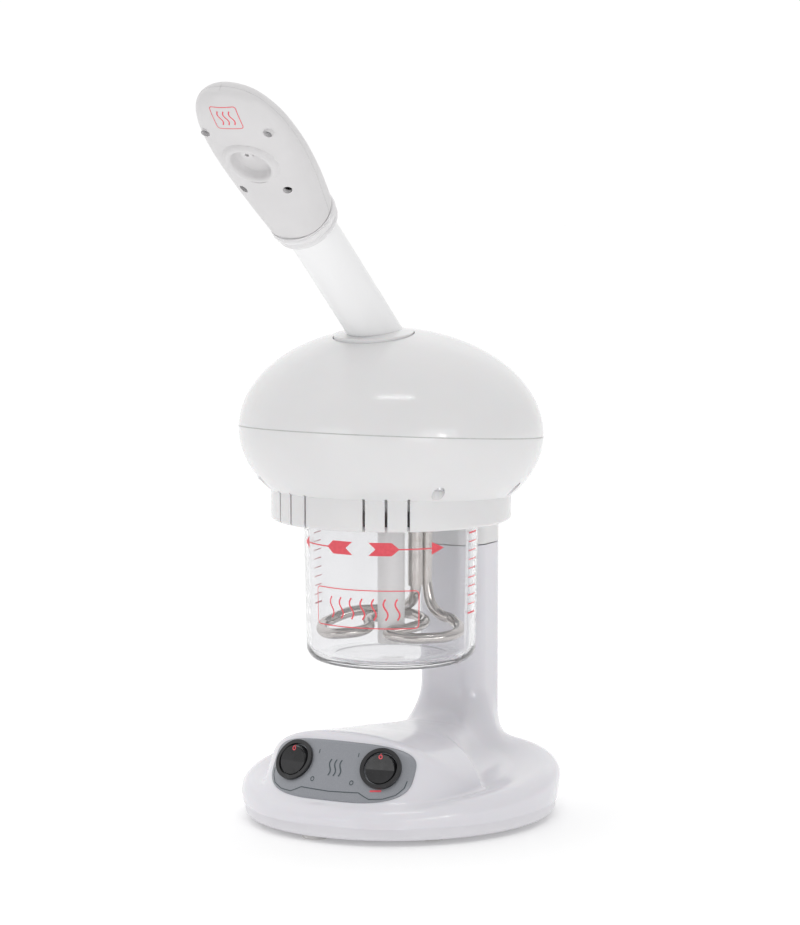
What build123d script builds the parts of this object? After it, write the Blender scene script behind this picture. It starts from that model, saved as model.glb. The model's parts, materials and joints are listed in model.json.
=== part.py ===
from build123d import *
import os
from math import atan2, cos, degrees, hypot, radians, sin, tan

# Table-top facial steamer. Millimetres, +Z up, the front faces -Y.
# The origin is where the axis of the water jar meets the table.

os.makedirs("parts", exist_ok=True)

WALL = 2.4  # moulded shells

# Base
BASE_Y = 11.0  # centre of the oval
BASE_HALF_X = 86.0
BASE_HALF_Y = 92.0
PAN_BOTTOM = 3.0
PAN_TOP = 10.0
DECK_Z = 26.6  # at the oval's centre
DECK_TILT = 4.0  # the deck rises to the back
RIM_FLARE = 7.5  # the side leans out
RIM_ROUND = 9.0
FOOT_R = 7.3
FOOT_SPOTS = [(-10, -67), (46.5, -40), (-50, -34), (42, 76), (-42, 76)]
BASE_SCREW_SPOTS = [(56, 2), (-56, 2), (50, 70), (-50, 70)]
BOSS_R = 4.5
SCREW_R = 1.75
SCREW_HEAD_R = 3.4

# Control pod: a visor on the front of the base that runs back into the column
POD_LOW_Z = 14.0
POD_HIGH_Z = 60.0
POD_LOW = [(62, -8), (60, -30), (55, -52), (46, -67), (27, -74.4), (0, -76.8)]
POD_HIGH = [(53, -5), (50, -20), (46, -33), (39, -42.6), (25, -47.4), (0, -49.1)]
POD_LOW_BACK = [(48, 14), (40, 45), (38, 84)]
POD_HIGH_BACK = [(26, 14), (17, 42), (16, 84)]
POD_ARCH = [(64, 12), (60, 30), (52, 43), (38, 50), (22, 54), (0, 56)]
POD_ARCH_FOOT = 12
# The arch gets lower towards the column: place along the machine, share of its height
POD_CREST = [(-95, 1.0), (-45, 0.98), (0, 0.87), (40, 0.79), (95, 0.77)]
POD_CENTRE = (0, -20)

# Switches, set in the slanted face
SWITCH_X = 26.5
SWITCH_Y = -59.6
SWITCH_Z = 39.4
SWITCH_YAW = 10.0
FACE_TILT = 31.0
BEZEL_R = 11.5
BEZEL_H = 2.2
SWITCH_BODY_R = 10.0
SWITCH_DEPTH = 16.0
ROCKER_R = 8.9
PIVOT_DEPTH = 1.0
PIVOT_R = 1.0
PIVOT_GAP = 0.05
PIN_HALF = 9.8
PANEL_T = 0.9

# Column
COLUMN_Y = 82.0
COLUMN_W = 40.0
COLUMN_D = 36.0
COLUMN_ROUND = 12.0
COLUMN_TOP = 145.0
COVER_W = 25.0
COVER_LOW = 44.0
COVER_HIGH = 136.0
GLAND_Z = 58.0
GLAND_BORE_R = 3.25

# Head: an ellipsoid whose joint plane rises to the front
HEAD_Z = 215.0
HEAD_TILT = 4.6
HEAD_R = 83.5
DOME_H = 57.0
BOWL_H = 54.5
HEAD_WALL = 2.6
COLLAR_R = 66.0
COLLAR_Z = 167.3
SLOT_W = 1.5
SLOT_GROUP = 26.3
SLOT_STEP = 10.5
HEAD_SCREW_R = 70.5
HEAD_SCREW_ANGLES = [49.4, 98.8, -49.4, -98.8]
BOSS_JOINT_Z = 206.0

# Boiler
CAP_Z = 181.0
CAP_T = 4.0
CAP_R = 62.6
CAP_SCREW_R = 58.6
LEDGE_T = 3.0
JAR_R = 48.1
JAR_FOOT_R = 46.6
JAR_WALL = 2.6
JAR_FLOOR_Z = 89.0
JAR_RIM_Z = 178.8
SKIRT_R = 50.2
ELEMENT_R = 3.0
LEG_A = (13.3, 17.5)
LEG_B = (9.4, 10.8)
SLEEVE_R = 4.2
NIPPLE_R = 4.4
RISER_R = 6.4
LEVEL_TUBE_R = 7.5

# Turret and arm. The turret axis stands square to the dome.
TURRET_Y = -20.0
TURRET_Z = 272.6
TURRET_LEAN = 5.0
TURRET_R = 21.8
SPIGOT_R = 10.0
SPIGOT_BORE = 7.0
ARM_LEAN = 50.0
ARM_R = 13.6
ARM_WALL = 1.6
ARM_END = 120.0
STEAM_PIPE_R = 9.0
RING_R = 18.5
RING_START = 93.0
RING_END = 102.5
RUNNING = 0.06  # radial clearance of a shaft in its bush

# Nozzle head sections along the arm: distance, half width, front depth, rear depth
NOZZLE = [
    (103.0, 17.6, 17.0, 17.2),
    (118.0, 20.6, 16.4, 17.4),
    (137.0, 24.2, 14.6, 15.8),
    (162.0, 26.3, 12.4, 13.0),
    (184.0, 23.8, 10.4, 10.4),
    (198.0, 17.2, 8.0, 7.4),
    (205.5, 6.0, 4.6, 3.2),
]
NOZZLE_WALL = 2.2
RECESS_AT = 158.0
RECESS_R = 12.6
JET_AT = 164.0
NOZZLE_SCREWS = [(18.3, 179), (-18.3, 179), (13, 138.3), (-13, 138.3)]

turret_axis = Vector(0, -sin(radians(TURRET_LEAN)), cos(radians(TURRET_LEAN)))
arm_axis = Vector(0, -sin(radians(ARM_LEAN)), cos(radians(ARM_LEAN)))
face_axis = Vector(0, -cos(radians(ARM_LEAN)), -sin(radians(ARM_LEAN)))
turret_point = Vector(0, TURRET_Y, TURRET_Z)
head_axis = Vector(0, sin(radians(HEAD_TILT)), cos(radians(HEAD_TILT)))


def turret_plane(height):
    """Plane square to the turret axis, height above the turret's crown."""
    return Plane(turret_point + turret_axis * height, x_dir=(1, 0, 0), z_dir=turret_axis)


def arm_plane(distance):
    """Plane square to the arm; its local y points out of the nozzle's back."""
    return Plane(turret_point + arm_axis * distance, x_dir=(1, 0, 0), z_dir=arm_axis)


def polar(radius, angle):
    """Point at an angle from the front (-Y), positive towards +X."""
    return (radius * sin(radians(angle)), -radius * cos(radians(angle)))


def save(builder, name):
    """Label a finished piece and write its STEP."""
    builder.part.label = name
    export_step(builder.part, f"parts/{name}.step")


# ---------------------------------------------------------------- base forms


def drawn_in(points, inset):
    """Points moved towards the pod's centre by the inset."""
    moved = []
    for x, y in points:
        dx = x - POD_CENTRE[0]
        dy = y - POD_CENTRE[1]
        scale = 1 - inset / hypot(dx, dy)
        moved.append((POD_CENTRE[0] + dx * scale, POD_CENTRE[1] + dy * scale))
    return moved


def pod_outline(front, back, inset):
    """Half outline of the pod from the tip forward and back, mirrored."""
    front = drawn_in(front, inset)
    back = [(x - inset, y) for x, y in back]
    with BuildLine() as outline:
        Spline(*front, *[(-x, y) for x, y in reversed(front[:-1])])
        Spline(front[0], *back)
        Line(back[-1], (-back[-1][0], back[-1][1]))
        Spline(*[(-x, y) for x, y in reversed(back)], (-front[0][0], front[0][1]))
    make_face(outline.edges())


def pod_roof(inset):
    """Long form under the pod's arch, lower towards the column."""
    with BuildPart() as roof:
        for along, share in POD_CREST:
            arch = [(x, POD_ARCH_FOOT + (z - POD_ARCH_FOOT) * share - inset) for x, z in POD_ARCH]
            with BuildSketch(Plane.XZ.offset(-along)):
                with BuildLine():
                    Spline(*arch, *[(-x, z) for x, z in reversed(arch[:-1])])
                    Line((-arch[0][0], arch[0][1]), (arch[0][0], arch[0][1]))
                make_face()
        loft()
    return roof.part


def pod_form(inset):
    """The visor and the ridge behind it, drawn in by the wall for its inside."""
    with BuildPart() as pod:
        with BuildSketch(Plane.XY.offset(POD_LOW_Z)):
            pod_outline(POD_LOW, POD_LOW_BACK, inset)
        with BuildSketch(Plane.XY.offset(POD_HIGH_Z)):
            pod_outline(POD_HIGH, POD_HIGH_BACK, inset)
        loft()
        add(pod_roof(inset), mode=Mode.INTERSECT)
    return pod.part


def column_form(inset, top):
    """Rounded post whose foot spreads to the front and the sides."""
    back = COLUMN_Y + COLUMN_D / 2
    foot = [(20, 74, 50, 24), (33, 57, 44, 20), (45, 46, 39, 14.5), (62, COLUMN_W, COLUMN_D, COLUMN_ROUND)]
    with BuildPart() as column:
        for z, width, depth, round_r in foot:
            with BuildSketch(Plane.XY.offset(z)):
                with Locations((0, back - depth / 2)):
                    RectangleRounded(width - 2 * inset, depth - 2 * inset, round_r - inset)
        loft()
        with BuildSketch(Plane.XY.offset(foot[-1][0])):
            with Locations((0, COLUMN_Y)):
                RectangleRounded(
                    COLUMN_W - 2 * inset, COLUMN_D - 2 * inset, COLUMN_ROUND - inset
                )
        extrude(amount=top - foot[-1][0])
    return column.part


def deck_plane(drop):
    """The deck's sloping plane, lowered by some depth."""
    tilt = radians(DECK_TILT)
    return Plane((0, BASE_Y, DECK_Z - drop), x_dir=(1, 0, 0), z_dir=(0, -sin(tilt), cos(tilt)))


def deck_form(inset, low):
    """Oval plate with a leaning side, a sloping top and a rounded shoulder."""
    high = 2 * DECK_Z
    with BuildPart() as deck:
        for z in (low, high):
            spread = (z - PAN_TOP) * tan(radians(RIM_FLARE)) - inset
            with BuildSketch(Plane.XY.offset(z)):
                with Locations((0, BASE_Y)):
                    Ellipse(BASE_HALF_X + spread, BASE_HALF_Y + spread)
        loft()
        split(bisect_by=deck_plane(inset), keep=Keep.BOTTOM)
        fillet(deck.faces().sort_by(Axis.Z)[-1].edges(), RIM_ROUND - inset)
    return deck.part


def deck_bosses():
    """Bored screw bosses that end inside the deck's thickness."""
    with BuildPart() as bosses:
        with BuildSketch(Plane.XY.offset(PAN_TOP + 1)):
            with Locations(*BASE_SCREW_SPOTS):
                Circle(BOSS_R)
                Circle(SCREW_R - 0.3, mode=Mode.SUBTRACT)
        extrude(amount=DECK_Z)
        split(bisect_by=deck_plane(WALL / 2), keep=Keep.BOTTOM)
    return bosses.part


def switch_plane(side, height=0.0):
    """Plane on the slanted face at a switch, local z out of the face, local y up it."""
    yaw = radians(SWITCH_YAW) * side
    tilt = radians(FACE_TILT)
    out = Vector(sin(yaw) * cos(tilt), -cos(yaw) * cos(tilt), sin(tilt))
    across = Vector(cos(yaw), sin(yaw), 0)
    centre = Vector(SWITCH_X * side, SWITCH_Y, SWITCH_Z)
    return Plane(centre + out * height, x_dir=across, z_dir=out)


# ---------------------------------------------------------------- base parts

with BuildPart() as base_shell:
    add(deck_form(0, PAN_TOP))
    add(pod_form(0))
    add(column_form(0, COLUMN_TOP))
    add(deck_form(WALL, PAN_TOP - 1), mode=Mode.SUBTRACT)
    add(pod_form(WALL), mode=Mode.SUBTRACT)
    add(column_form(WALL, COLUMN_TOP + 1), mode=Mode.SUBTRACT)
    add(deck_bosses())
    # Opening for the rear cover
    with BuildSketch(Plane.XZ.offset(-(COLUMN_Y + 10))):
        with Locations((0, (COVER_LOW + COVER_HIGH) / 2)):
            RectangleRounded(COVER_W + 0.2, COVER_HIGH - COVER_LOW + 0.2, 4)
    extrude(amount=-20, mode=Mode.SUBTRACT)
    # Seats and holes for the two switches
    for side in (1, -1):
        with BuildSketch(switch_plane(side)):
            Circle(BEZEL_R + 0.1)
        extrude(amount=12, mode=Mode.SUBTRACT)
        with BuildSketch(switch_plane(side)):
            Circle(SWITCH_BODY_R + 0.1)
        extrude(amount=-20, mode=Mode.SUBTRACT)
save(base_shell, "base_shell")

with BuildPart() as base_pan:
    with BuildSketch(Plane.XY.offset(PAN_BOTTOM)):
        with Locations((0, BASE_Y)):
            Ellipse(BASE_HALF_X - 1.2, BASE_HALF_Y - 1.2)
    extrude(amount=PAN_TOP - PAN_BOTTOM)
    fillet(base_pan.faces().sort_by(Axis.Z)[0].edges(), 2.5)
    with BuildSketch(Plane.XY.offset(PAN_BOTTOM + WALL)):
        with Locations((0, BASE_Y)):
            Ellipse(BASE_HALF_X - 1.2 - WALL, BASE_HALF_Y - 1.2 - WALL)
    extrude(amount=PAN_TOP, mode=Mode.SUBTRACT)
    with BuildSketch(Plane.XY.offset(PAN_BOTTOM)):
        with Locations(*BASE_SCREW_SPOTS):
            Circle(BOSS_R + 1.5)
    extrude(amount=PAN_TOP + 1 - PAN_BOTTOM)
    with Locations(*[(x, y, PAN_BOTTOM) for x, y in BASE_SCREW_SPOTS]):
        Cylinder(SCREW_HEAD_R + 0.2, 6, mode=Mode.SUBTRACT)
        Cylinder(SCREW_R + 0.2, 30, mode=Mode.SUBTRACT)
    with Locations(*[(x, y, PAN_BOTTOM) for x, y in FOOT_SPOTS]):
        Cylinder(FOOT_R + 0.1, 2, mode=Mode.SUBTRACT)
save(base_pan, "base_pan")

with BuildPart() as rubber_feet:
    with BuildSketch():
        with Locations(*FOOT_SPOTS):
            Circle(FOOT_R)
    extrude(amount=PAN_BOTTOM + 1)
    fillet(rubber_feet.faces().filter_by(lambda f: f.center().Z < 0.1).edges(), 1.0)
save(rubber_feet, "rubber_feet")


def screw(head_plane_z, length, spots):
    """Pan-head screws, heads at the given height, shanks pointing up."""
    with BuildPart() as screws:
        with BuildSketch(Plane.XY.offset(head_plane_z)):
            with Locations(*spots):
                Circle(SCREW_HEAD_R)
        extrude(amount=-2)
        with BuildSketch(Plane.XY.offset(head_plane_z)):
            with Locations(*spots):
                Circle(SCREW_R - 0.3)
        extrude(amount=length)
        heads = screws.faces().sort_by(Axis.Z).filter_by(lambda f: f.center().Z < head_plane_z - 1.9)
        chamfer(heads.edges(), 0.6)
    return screws


base_screws = screw(PAN_BOTTOM + 3, 12, BASE_SCREW_SPOTS)
save(base_screws, "base_screws")

with BuildPart() as column_cover:
    with BuildSketch(Plane.XZ.offset(-(COLUMN_Y + COLUMN_D / 2))):
        with Locations((0, (COVER_LOW + COVER_HIGH) / 2)):
            RectangleRounded(COVER_W, COVER_HIGH - COVER_LOW, 3.9)
    extrude(amount=WALL)
    with BuildSketch(Plane.XZ.offset(-(COLUMN_Y + COLUMN_D / 2) - 5)):
        with Locations((0, GLAND_Z)):
            Circle(5.1)
        with Locations((0, COVER_HIGH - 8)):
            Circle(SCREW_R)
    extrude(amount=20, mode=Mode.SUBTRACT)
save(column_cover, "column_cover")

with BuildPart() as column_cover_screw:
    with BuildSketch(Plane.XZ.offset(-(COLUMN_Y + COLUMN_D / 2))):
        with Locations((0, COVER_HIGH - 8)):
            Circle(SCREW_HEAD_R)
    extrude(amount=-2)
    with BuildSketch(Plane.XZ.offset(-(COLUMN_Y + COLUMN_D / 2))):
        with Locations((0, COVER_HIGH - 8)):
            Circle(SCREW_R - 0.2)
    extrude(amount=8)
save(column_cover_screw, "column_cover_screw")

# Cord gland: a flanged bush in the rear cover
with BuildPart() as cord_gland:
    back = COLUMN_Y + COLUMN_D / 2
    with BuildSketch(Plane.XZ.offset(-back)):
        with Locations((0, GLAND_Z)):
            Circle(8)
    extrude(amount=-3)
    fillet(cord_gland.faces().sort_by(Axis.Y)[-1].edges(), 1.2)
    with BuildSketch(Plane.XZ.offset(-back)):
        with Locations((0, GLAND_Z)):
            Circle(5)
    extrude(amount=6)
    with BuildSketch(Plane.XZ.offset(-back - 5)):
        with Locations((0, GLAND_Z)):
            Circle(GLAND_BORE_R)
    extrude(amount=20, mode=Mode.SUBTRACT)
save(cord_gland, "cord_gland")

# Control panel: a thin plate that follows the slanted face
with BuildPart() as control_panel:
    add(pod_form(-PANEL_T))
    add(pod_form(0), mode=Mode.SUBTRACT)
    with BuildSketch(Plane((0, SWITCH_Y, SWITCH_Z - 1.5), x_dir=(1, 0, 0), z_dir=(0, -1, 0))):
        with BuildLine():
            ThreePointArc((-34, 12), (0, 14.2), (34, 12))
            ThreePointArc((34, 12), (45.5, 1), (36, -12))
            ThreePointArc((36, -12), (0, -15.4), (-36, -12))
            ThreePointArc((-36, -12), (-45.5, 1), (-34, 12))
        make_face()
    extrude(amount=60, both=True, mode=Mode.INTERSECT)
    for side in (1, -1):
        with BuildSketch(switch_plane(side, -3)):
            Circle(BEZEL_R + 0.1)
        extrude(amount=20, mode=Mode.SUBTRACT)
save(control_panel, "control_panel")

for side, name in ((1, "power"), (-1, "ozone")):
    # Round housing with a flange, open at the front for the rocker
    with BuildPart() as switch_body:
        with BuildSketch(switch_plane(side)):
            Circle(BEZEL_R)
        extrude(amount=BEZEL_H)
        with BuildSketch(switch_plane(side)):
            Circle(SWITCH_BODY_R)
        extrude(amount=-SWITCH_DEPTH)
        with BuildSketch(switch_plane(side, BEZEL_H)):
            Circle(ROCKER_R + 0.5)
        extrude(amount=-(BEZEL_H + 9), mode=Mode.SUBTRACT)
        with Locations(switch_plane(side, -PIVOT_DEPTH)):
            Cylinder(PIVOT_R, 2 * PIN_HALF, rotation=(0, 90, 0), mode=Mode.SUBTRACT)
    save(switch_body, f"{name}_switch_body")

    # Rocker: a ball-sided slab with two faces, the lower one pressed flush
    with BuildPart() as rocker:
        with Locations(switch_plane(side, -PIVOT_DEPTH)):
            Sphere(ROCKER_R)
        with BuildSketch(Plane(switch_plane(side, -PIVOT_DEPTH).origin,
                               x_dir=switch_plane(side).y_dir, z_dir=switch_plane(side).x_dir)):
            with BuildLine():
                Polyline((-12, -5), (-12, 2.2), (-1.2, 3.4), (12, 7.6), (12, -5), (-12, -5))
            make_face()
        extrude(amount=12, both=True, mode=Mode.INTERSECT)
        with Locations(switch_plane(side, -PIVOT_DEPTH)):
            Cylinder(PIVOT_R + PIVOT_GAP, 30, rotation=(0, 90, 0), mode=Mode.SUBTRACT)
    save(rocker, f"{name}_rocker")

with BuildPart() as rocker_pins:
    for side in (1, -1):
        with Locations(switch_plane(side, -PIVOT_DEPTH)):
            Cylinder(PIVOT_R, 2 * PIN_HALF, rotation=(0, 90, 0))
save(rocker_pins, "rocker_pins")

with BuildPart() as switch_terminals:
    for side in (1, -1):
        with BuildSketch(switch_plane(side, -SWITCH_DEPTH)):
            with GridLocations(0, 7, 1, 2):
                Rectangle(4.8, 0.8)
        extrude(amount=-8)
save(switch_terminals, "switch_terminals")

# Ozone supply board and the mains terminal block, under the deck
with BuildPart() as ozone_board:
    with BuildSketch(Plane.XY.offset(PAN_BOTTOM + WALL)):
        with Locations((0, 40)):
            with GridLocations(34, 44, 2, 2):
                Circle(2.4)
    extrude(amount=2)
    with BuildSketch(Plane.XY.offset(PAN_BOTTOM + WALL + 2)):
        with Locations((0, 40)):
            Rectangle(42, 52)
    extrude(amount=1.6)
    with BuildSketch(Plane.XY.offset(PAN_BOTTOM + WALL + 3.6)):
        with Locations((-8, 48)):
            RectangleRounded(18, 22, 1)
        with Locations((12, 26)):
            Circle(5)
    extrude(amount=11)
save(ozone_board, "ozone_board")

with BuildPart() as terminal_block:
    with BuildSketch(Plane.XY.offset(PAN_BOTTOM + WALL)):
        with Locations((0, 84)):
            Rectangle(28, 14)
    extrude(amount=10)
    with BuildSketch(Plane.XY.offset(PAN_BOTTOM + WALL + 4)):
        with Locations((0, 84)):
            with GridLocations(9, 0, 3, 1):
                Circle(2.6)
    extrude(amount=7, mode=Mode.SUBTRACT)
save(terminal_block, "terminal_block")

with BuildPart() as column_wires:
    with BuildSketch(Plane.XY.offset(PAN_BOTTOM + WALL + 12)):
        with Locations((-5, 80), (5, 80), (0, 86)):
            Circle(2.2)
    extrude(amount=178 - PAN_BOTTOM - WALL - 12)
save(column_wires, "column_wires")

# ---------------------------------------------------------------- head forms


def head_axis_line():
    return Axis((0, 0, HEAD_Z), head_axis)


head_section = Plane(
    (0, 0, HEAD_Z), x_dir=(1, 0, 0), z_dir=(0, -cos(radians(HEAD_TILT)), sin(radians(HEAD_TILT)))
)
head_joint = Plane(
    (0, 0, HEAD_Z), x_dir=(0, cos(radians(HEAD_TILT)), -sin(radians(HEAD_TILT))), z_dir=head_axis
)


def egg_form(inset, upper):
    """Half of the head's ellipsoid, above or below the joint plane."""
    radius = HEAD_R - inset
    height = (DOME_H if upper else BOWL_H) - inset
    half = (Align.CENTER, Align.MIN, Align.CENTER)
    with BuildPart() as egg:
        Sphere(radius, arc_size3=180, rotation=(90 if upper else -90, 0, 0), align=half)
        scale(by=(1, 1, height / radius))
    return egg.part.moved(head_joint.location)


def neck_form(inset):
    """Upright block that carries the head, with a sloping shoulder behind."""
    back = COLUMN_Y + COLUMN_D / 2 - inset
    with BuildPart() as neck:
        with BuildSketch(Plane.XY.offset(COLUMN_TOP - (inset and 1))):
            with Locations((0, COLUMN_Y)):
                RectangleRounded(
                    COLUMN_W - 2 * inset, COLUMN_D - 2 * inset, COLUMN_ROUND - inset
                )
        extrude(amount=70)
        with BuildSketch(Plane.YZ):
            with BuildLine():
                Polyline(
                    (30, COLUMN_TOP - 5),
                    (back, COLUMN_TOP - 5),
                    (back, 172 - inset),
                    (back - 6, 186 - inset),
                    (back - 18, 203 - inset),
                    (30, 203 - inset),
                    (30, COLUMN_TOP - 5),
                )
            make_face()
        extrude(amount=40, both=True, mode=Mode.INTERSECT)
    return neck.part


def head_bosses(low, high):
    """Screw bosses at the four fixing points of the head."""
    with BuildPart() as bosses:
        with BuildSketch(Plane.XY.offset(low)):
            with Locations(*[polar(HEAD_SCREW_R, angle) for angle in HEAD_SCREW_ANGLES]):
                Circle(BOSS_R)
        extrude(amount=high - low)
    return bosses.part


bowl_outer = egg_form(0, upper=False)
bowl_inner = egg_form(HEAD_WALL, upper=False)
dome_outer = egg_form(0, upper=True)
dome_inner = egg_form(HEAD_WALL, upper=True)
screw_spots = [polar(HEAD_SCREW_R, angle) for angle in HEAD_SCREW_ANGLES]

with BuildPart() as lower_bosses:
    add(head_bosses(170, BOSS_JOINT_Z))
    add(bowl_outer, mode=Mode.INTERSECT)

with BuildPart() as head_lower_shell:
    add(bowl_outer)
    add(neck_form(0))
    with BuildSketch(Plane.XY.offset(COLLAR_Z)):
        Circle(COLLAR_R)
    extrude(amount=20)
    bottom = head_lower_shell.edges().filter_by(GeomType.CIRCLE).sort_by(Axis.Z)
    fillet([e for e in bottom if abs(e.center().Z - COLLAR_Z) < 0.1], 2)
    # Open top, hollow bowl, neck and collar
    add(bowl_inner, mode=Mode.SUBTRACT)
    add(neck_form(HEAD_WALL), mode=Mode.SUBTRACT)
    with BuildSketch(Plane.XY.offset(COLLAR_Z + 2.6)):
        Circle(COLLAR_R - 2.8)
    extrude(amount=22, mode=Mode.SUBTRACT)
    with BuildSketch(Plane.XY.offset(HEAD_Z - BOWL_H - 10)):
        Circle(SKIRT_R + 4.2)
    extrude(amount=COLLAR_Z + 5 - (HEAD_Z - BOWL_H - 10), mode=Mode.SUBTRACT)
    # Ledge that the boiler cap screws to
    with BuildSketch(Plane.XY.offset(CAP_Z - LEDGE_T)):
        Circle(COLLAR_R - 2)
        Circle(CAP_SCREW_R - 4.2, mode=Mode.SUBTRACT)
    extrude(amount=LEDGE_T)
    with Locations(*[(*polar(CAP_SCREW_R, 45 + 90 * k), CAP_Z) for k in range(4)]):
        Cylinder(SCREW_R - 0.3, 20, mode=Mode.SUBTRACT)
    with BuildSketch(head_joint):
        Circle(2 * HEAD_R)
    extrude(amount=60, mode=Mode.SUBTRACT)
    add(lower_bosses.part)
    # Vent slots, in two groups of three, left and right of the front
    with BuildSketch(Plane.XY.offset(COLLAR_Z - 1)):
        for group in (-1, 1):
            for step in (-1, 0, 1):
                angle = group * SLOT_GROUP + step * SLOT_STEP
                with Locations(Location((*polar(COLLAR_R, angle), 0), (0, 0, angle))):
                    Rectangle(SLOT_W, 9)
    extrude(amount=19, mode=Mode.SUBTRACT)
    # Screw recesses from below
    with Locations(*[(x, y, 170) for x, y in screw_spots]):
        Cylinder(SCREW_HEAD_R + 0.2, 44, mode=Mode.SUBTRACT)
        Cylinder(SCREW_R + 0.1, 100, mode=Mode.SUBTRACT)
save(head_lower_shell, "head_lower_shell")

head_screws = screw(192, 24, screw_spots)
save(head_screws, "head_screws")

with BuildPart() as upper_bosses:
    add(head_bosses(BOSS_JOINT_Z, HEAD_Z + 50))
    add(dome_outer, mode=Mode.INTERSECT)
with BuildPart() as boss_feet:
    add(head_bosses(BOSS_JOINT_Z, HEAD_Z + 12))

WELL_R = 26.0
WELL_DEPTH = 20.0
BUSH_R = 14.0
with BuildPart() as turret_well:
    with BuildSketch(turret_plane(-WELL_DEPTH)):
        Circle(WELL_R)
    extrude(amount=WELL_DEPTH)
    add(dome_outer, mode=Mode.INTERSECT)

with BuildPart() as head_upper_shell:
    add(dome_outer)
    add(dome_inner, mode=Mode.SUBTRACT)
    add(turret_well.part)
    add(upper_bosses.part)
    add(boss_feet.part)
    # Lip that seats inside the bowl
    with BuildSketch(head_section):
        with BuildLine():
            Polyline((78.6, -3), (80.3, -3), (80.3, 0), (81.6, 0), (81.6, 3), (78.6, 3), (78.6, -3))
        make_face()
    revolve(axis=head_axis_line())
    # Turret well and its bush hole
    with BuildSketch(turret_plane(-WELL_DEPTH + 2.6)):
        Circle(TURRET_R + 0.5)
    extrude(amount=WELL_DEPTH + 5, mode=Mode.SUBTRACT)
    with BuildSketch(turret_plane(-WELL_DEPTH - 1)):
        Circle(BUSH_R)
    extrude(amount=10, mode=Mode.SUBTRACT)
    with Locations(*[(x, y, BOSS_JOINT_Z) for x, y in screw_spots]):
        Cylinder(SCREW_R - 0.3, 24, mode=Mode.SUBTRACT)
save(head_upper_shell, "head_upper_shell")

# ---------------------------------------------------------------- boiler

cap_screw_spots = [polar(CAP_SCREW_R, 45 + 90 * k) for k in range(4)]

with BuildPart() as boiler_cap:
    with BuildSketch(Plane.XY.offset(CAP_Z)):
        Circle(CAP_R)
    extrude(amount=CAP_T)
    with BuildSketch(Plane.XY.offset(COLLAR_Z + 1.5)):
        Circle(SKIRT_R + 3.4)
        Circle(SKIRT_R, mode=Mode.SUBTRACT)
    extrude(amount=CAP_Z - COLLAR_Z - 1.5)
    # Nipple for the steam outlet, on the turret axis
    with BuildSketch(turret_plane(-90)):
        Circle(NIPPLE_R)
    extrude(amount=12)
    with BuildSketch(turret_plane(-100)):
        Circle(NIPPLE_R - 1.4)
    extrude(amount=30, mode=Mode.SUBTRACT)
    # Holes for the element legs and its sleeve, and a blind seat for the level tube
    with BuildSketch(Plane.XY.offset(CAP_Z - 3)):
        with Locations(LEG_A):
            Circle(ELEMENT_R)
        with Locations(LEG_B):
            Circle(SLEEVE_R)
    extrude(amount=CAP_T + 6, mode=Mode.SUBTRACT)
    with BuildSketch(Plane.XY.offset(CAP_Z - 3)):
        Circle(LEVEL_TUBE_R)
    extrude(amount=5, mode=Mode.SUBTRACT)
    with Locations(*[(x, y, CAP_Z) for x, y in cap_screw_spots]):
        Cylinder(SCREW_R, 30, mode=Mode.SUBTRACT)
save(boiler_cap, "boiler_cap")

with BuildPart() as cap_screws:
    with BuildSketch(Plane.XY.offset(CAP_Z + CAP_T)):
        with Locations(*cap_screw_spots):
            Circle(SCREW_HEAD_R)
    extrude(amount=2)
    with BuildSketch(Plane.XY.offset(CAP_Z + CAP_T)):
        with Locations(*cap_screw_spots):
            Circle(SCREW_R - 0.3)
    extrude(amount=-9)
save(cap_screws, "cap_screws")

with BuildPart() as jar_seal:
    with BuildSketch(Plane.XY.offset(JAR_RIM_Z)):
        Circle(JAR_R - 0.1)
        Circle(JAR_R - 4.5, mode=Mode.SUBTRACT)
    extrude(amount=CAP_Z - JAR_RIM_Z)
save(jar_seal, "jar_seal")

with BuildPart() as jar:
    with BuildSketch(Plane.XZ):
        with BuildLine():
            Polyline(
                (0, JAR_FLOOR_Z + 1),
                (31.2, JAR_FLOOR_Z + 1),
                (31.2, JAR_FLOOR_Z),
                (JAR_FOOT_R - 8, JAR_FLOOR_Z),
            )
            SagittaArc((JAR_FOOT_R - 8, JAR_FLOOR_Z), (JAR_FOOT_R, JAR_FLOOR_Z + 8), -2.4)
            Polyline(
                (JAR_FOOT_R, JAR_FLOOR_Z + 8),
                (JAR_R, JAR_RIM_Z - 7),
                (JAR_R + 1.2, JAR_RIM_Z - 6),
                (JAR_R + 1.2, JAR_RIM_Z - 4.6),
                (JAR_R, JAR_RIM_Z - 3.6),
                (JAR_R, JAR_RIM_Z),
                (JAR_R - JAR_WALL, JAR_RIM_Z),
                (JAR_FOOT_R - JAR_WALL, JAR_FLOOR_Z + 9),
            )
            SagittaArc(
                (JAR_FOOT_R - JAR_WALL, JAR_FLOOR_Z + 9),
                (JAR_FOOT_R - JAR_WALL - 5.2, JAR_FLOOR_Z + 3.8),
                1.5,
            )
            Polyline(
                (JAR_FOOT_R - JAR_WALL - 5.2, JAR_FLOOR_Z + 3.8),
                (0, JAR_FLOOR_Z + 3.8),
                (0, JAR_FLOOR_Z + 1),
            )
        make_face()
    revolve(axis=Axis.Z)
save(jar, "jar")


def bend_radii(points):
    """The largest easy radius for each inner corner of a route."""
    radii = []
    for before, corner, after in zip(points, points[1:], points[2:]):
        run_in = Vector(*corner) - Vector(*before)
        run_out = Vector(*after) - Vector(*corner)
        turn = radians(run_in.get_angle(run_out))
        radii.append(0.45 * min(run_in.length, run_out.length) / tan(turn / 2))
    return radii


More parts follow.
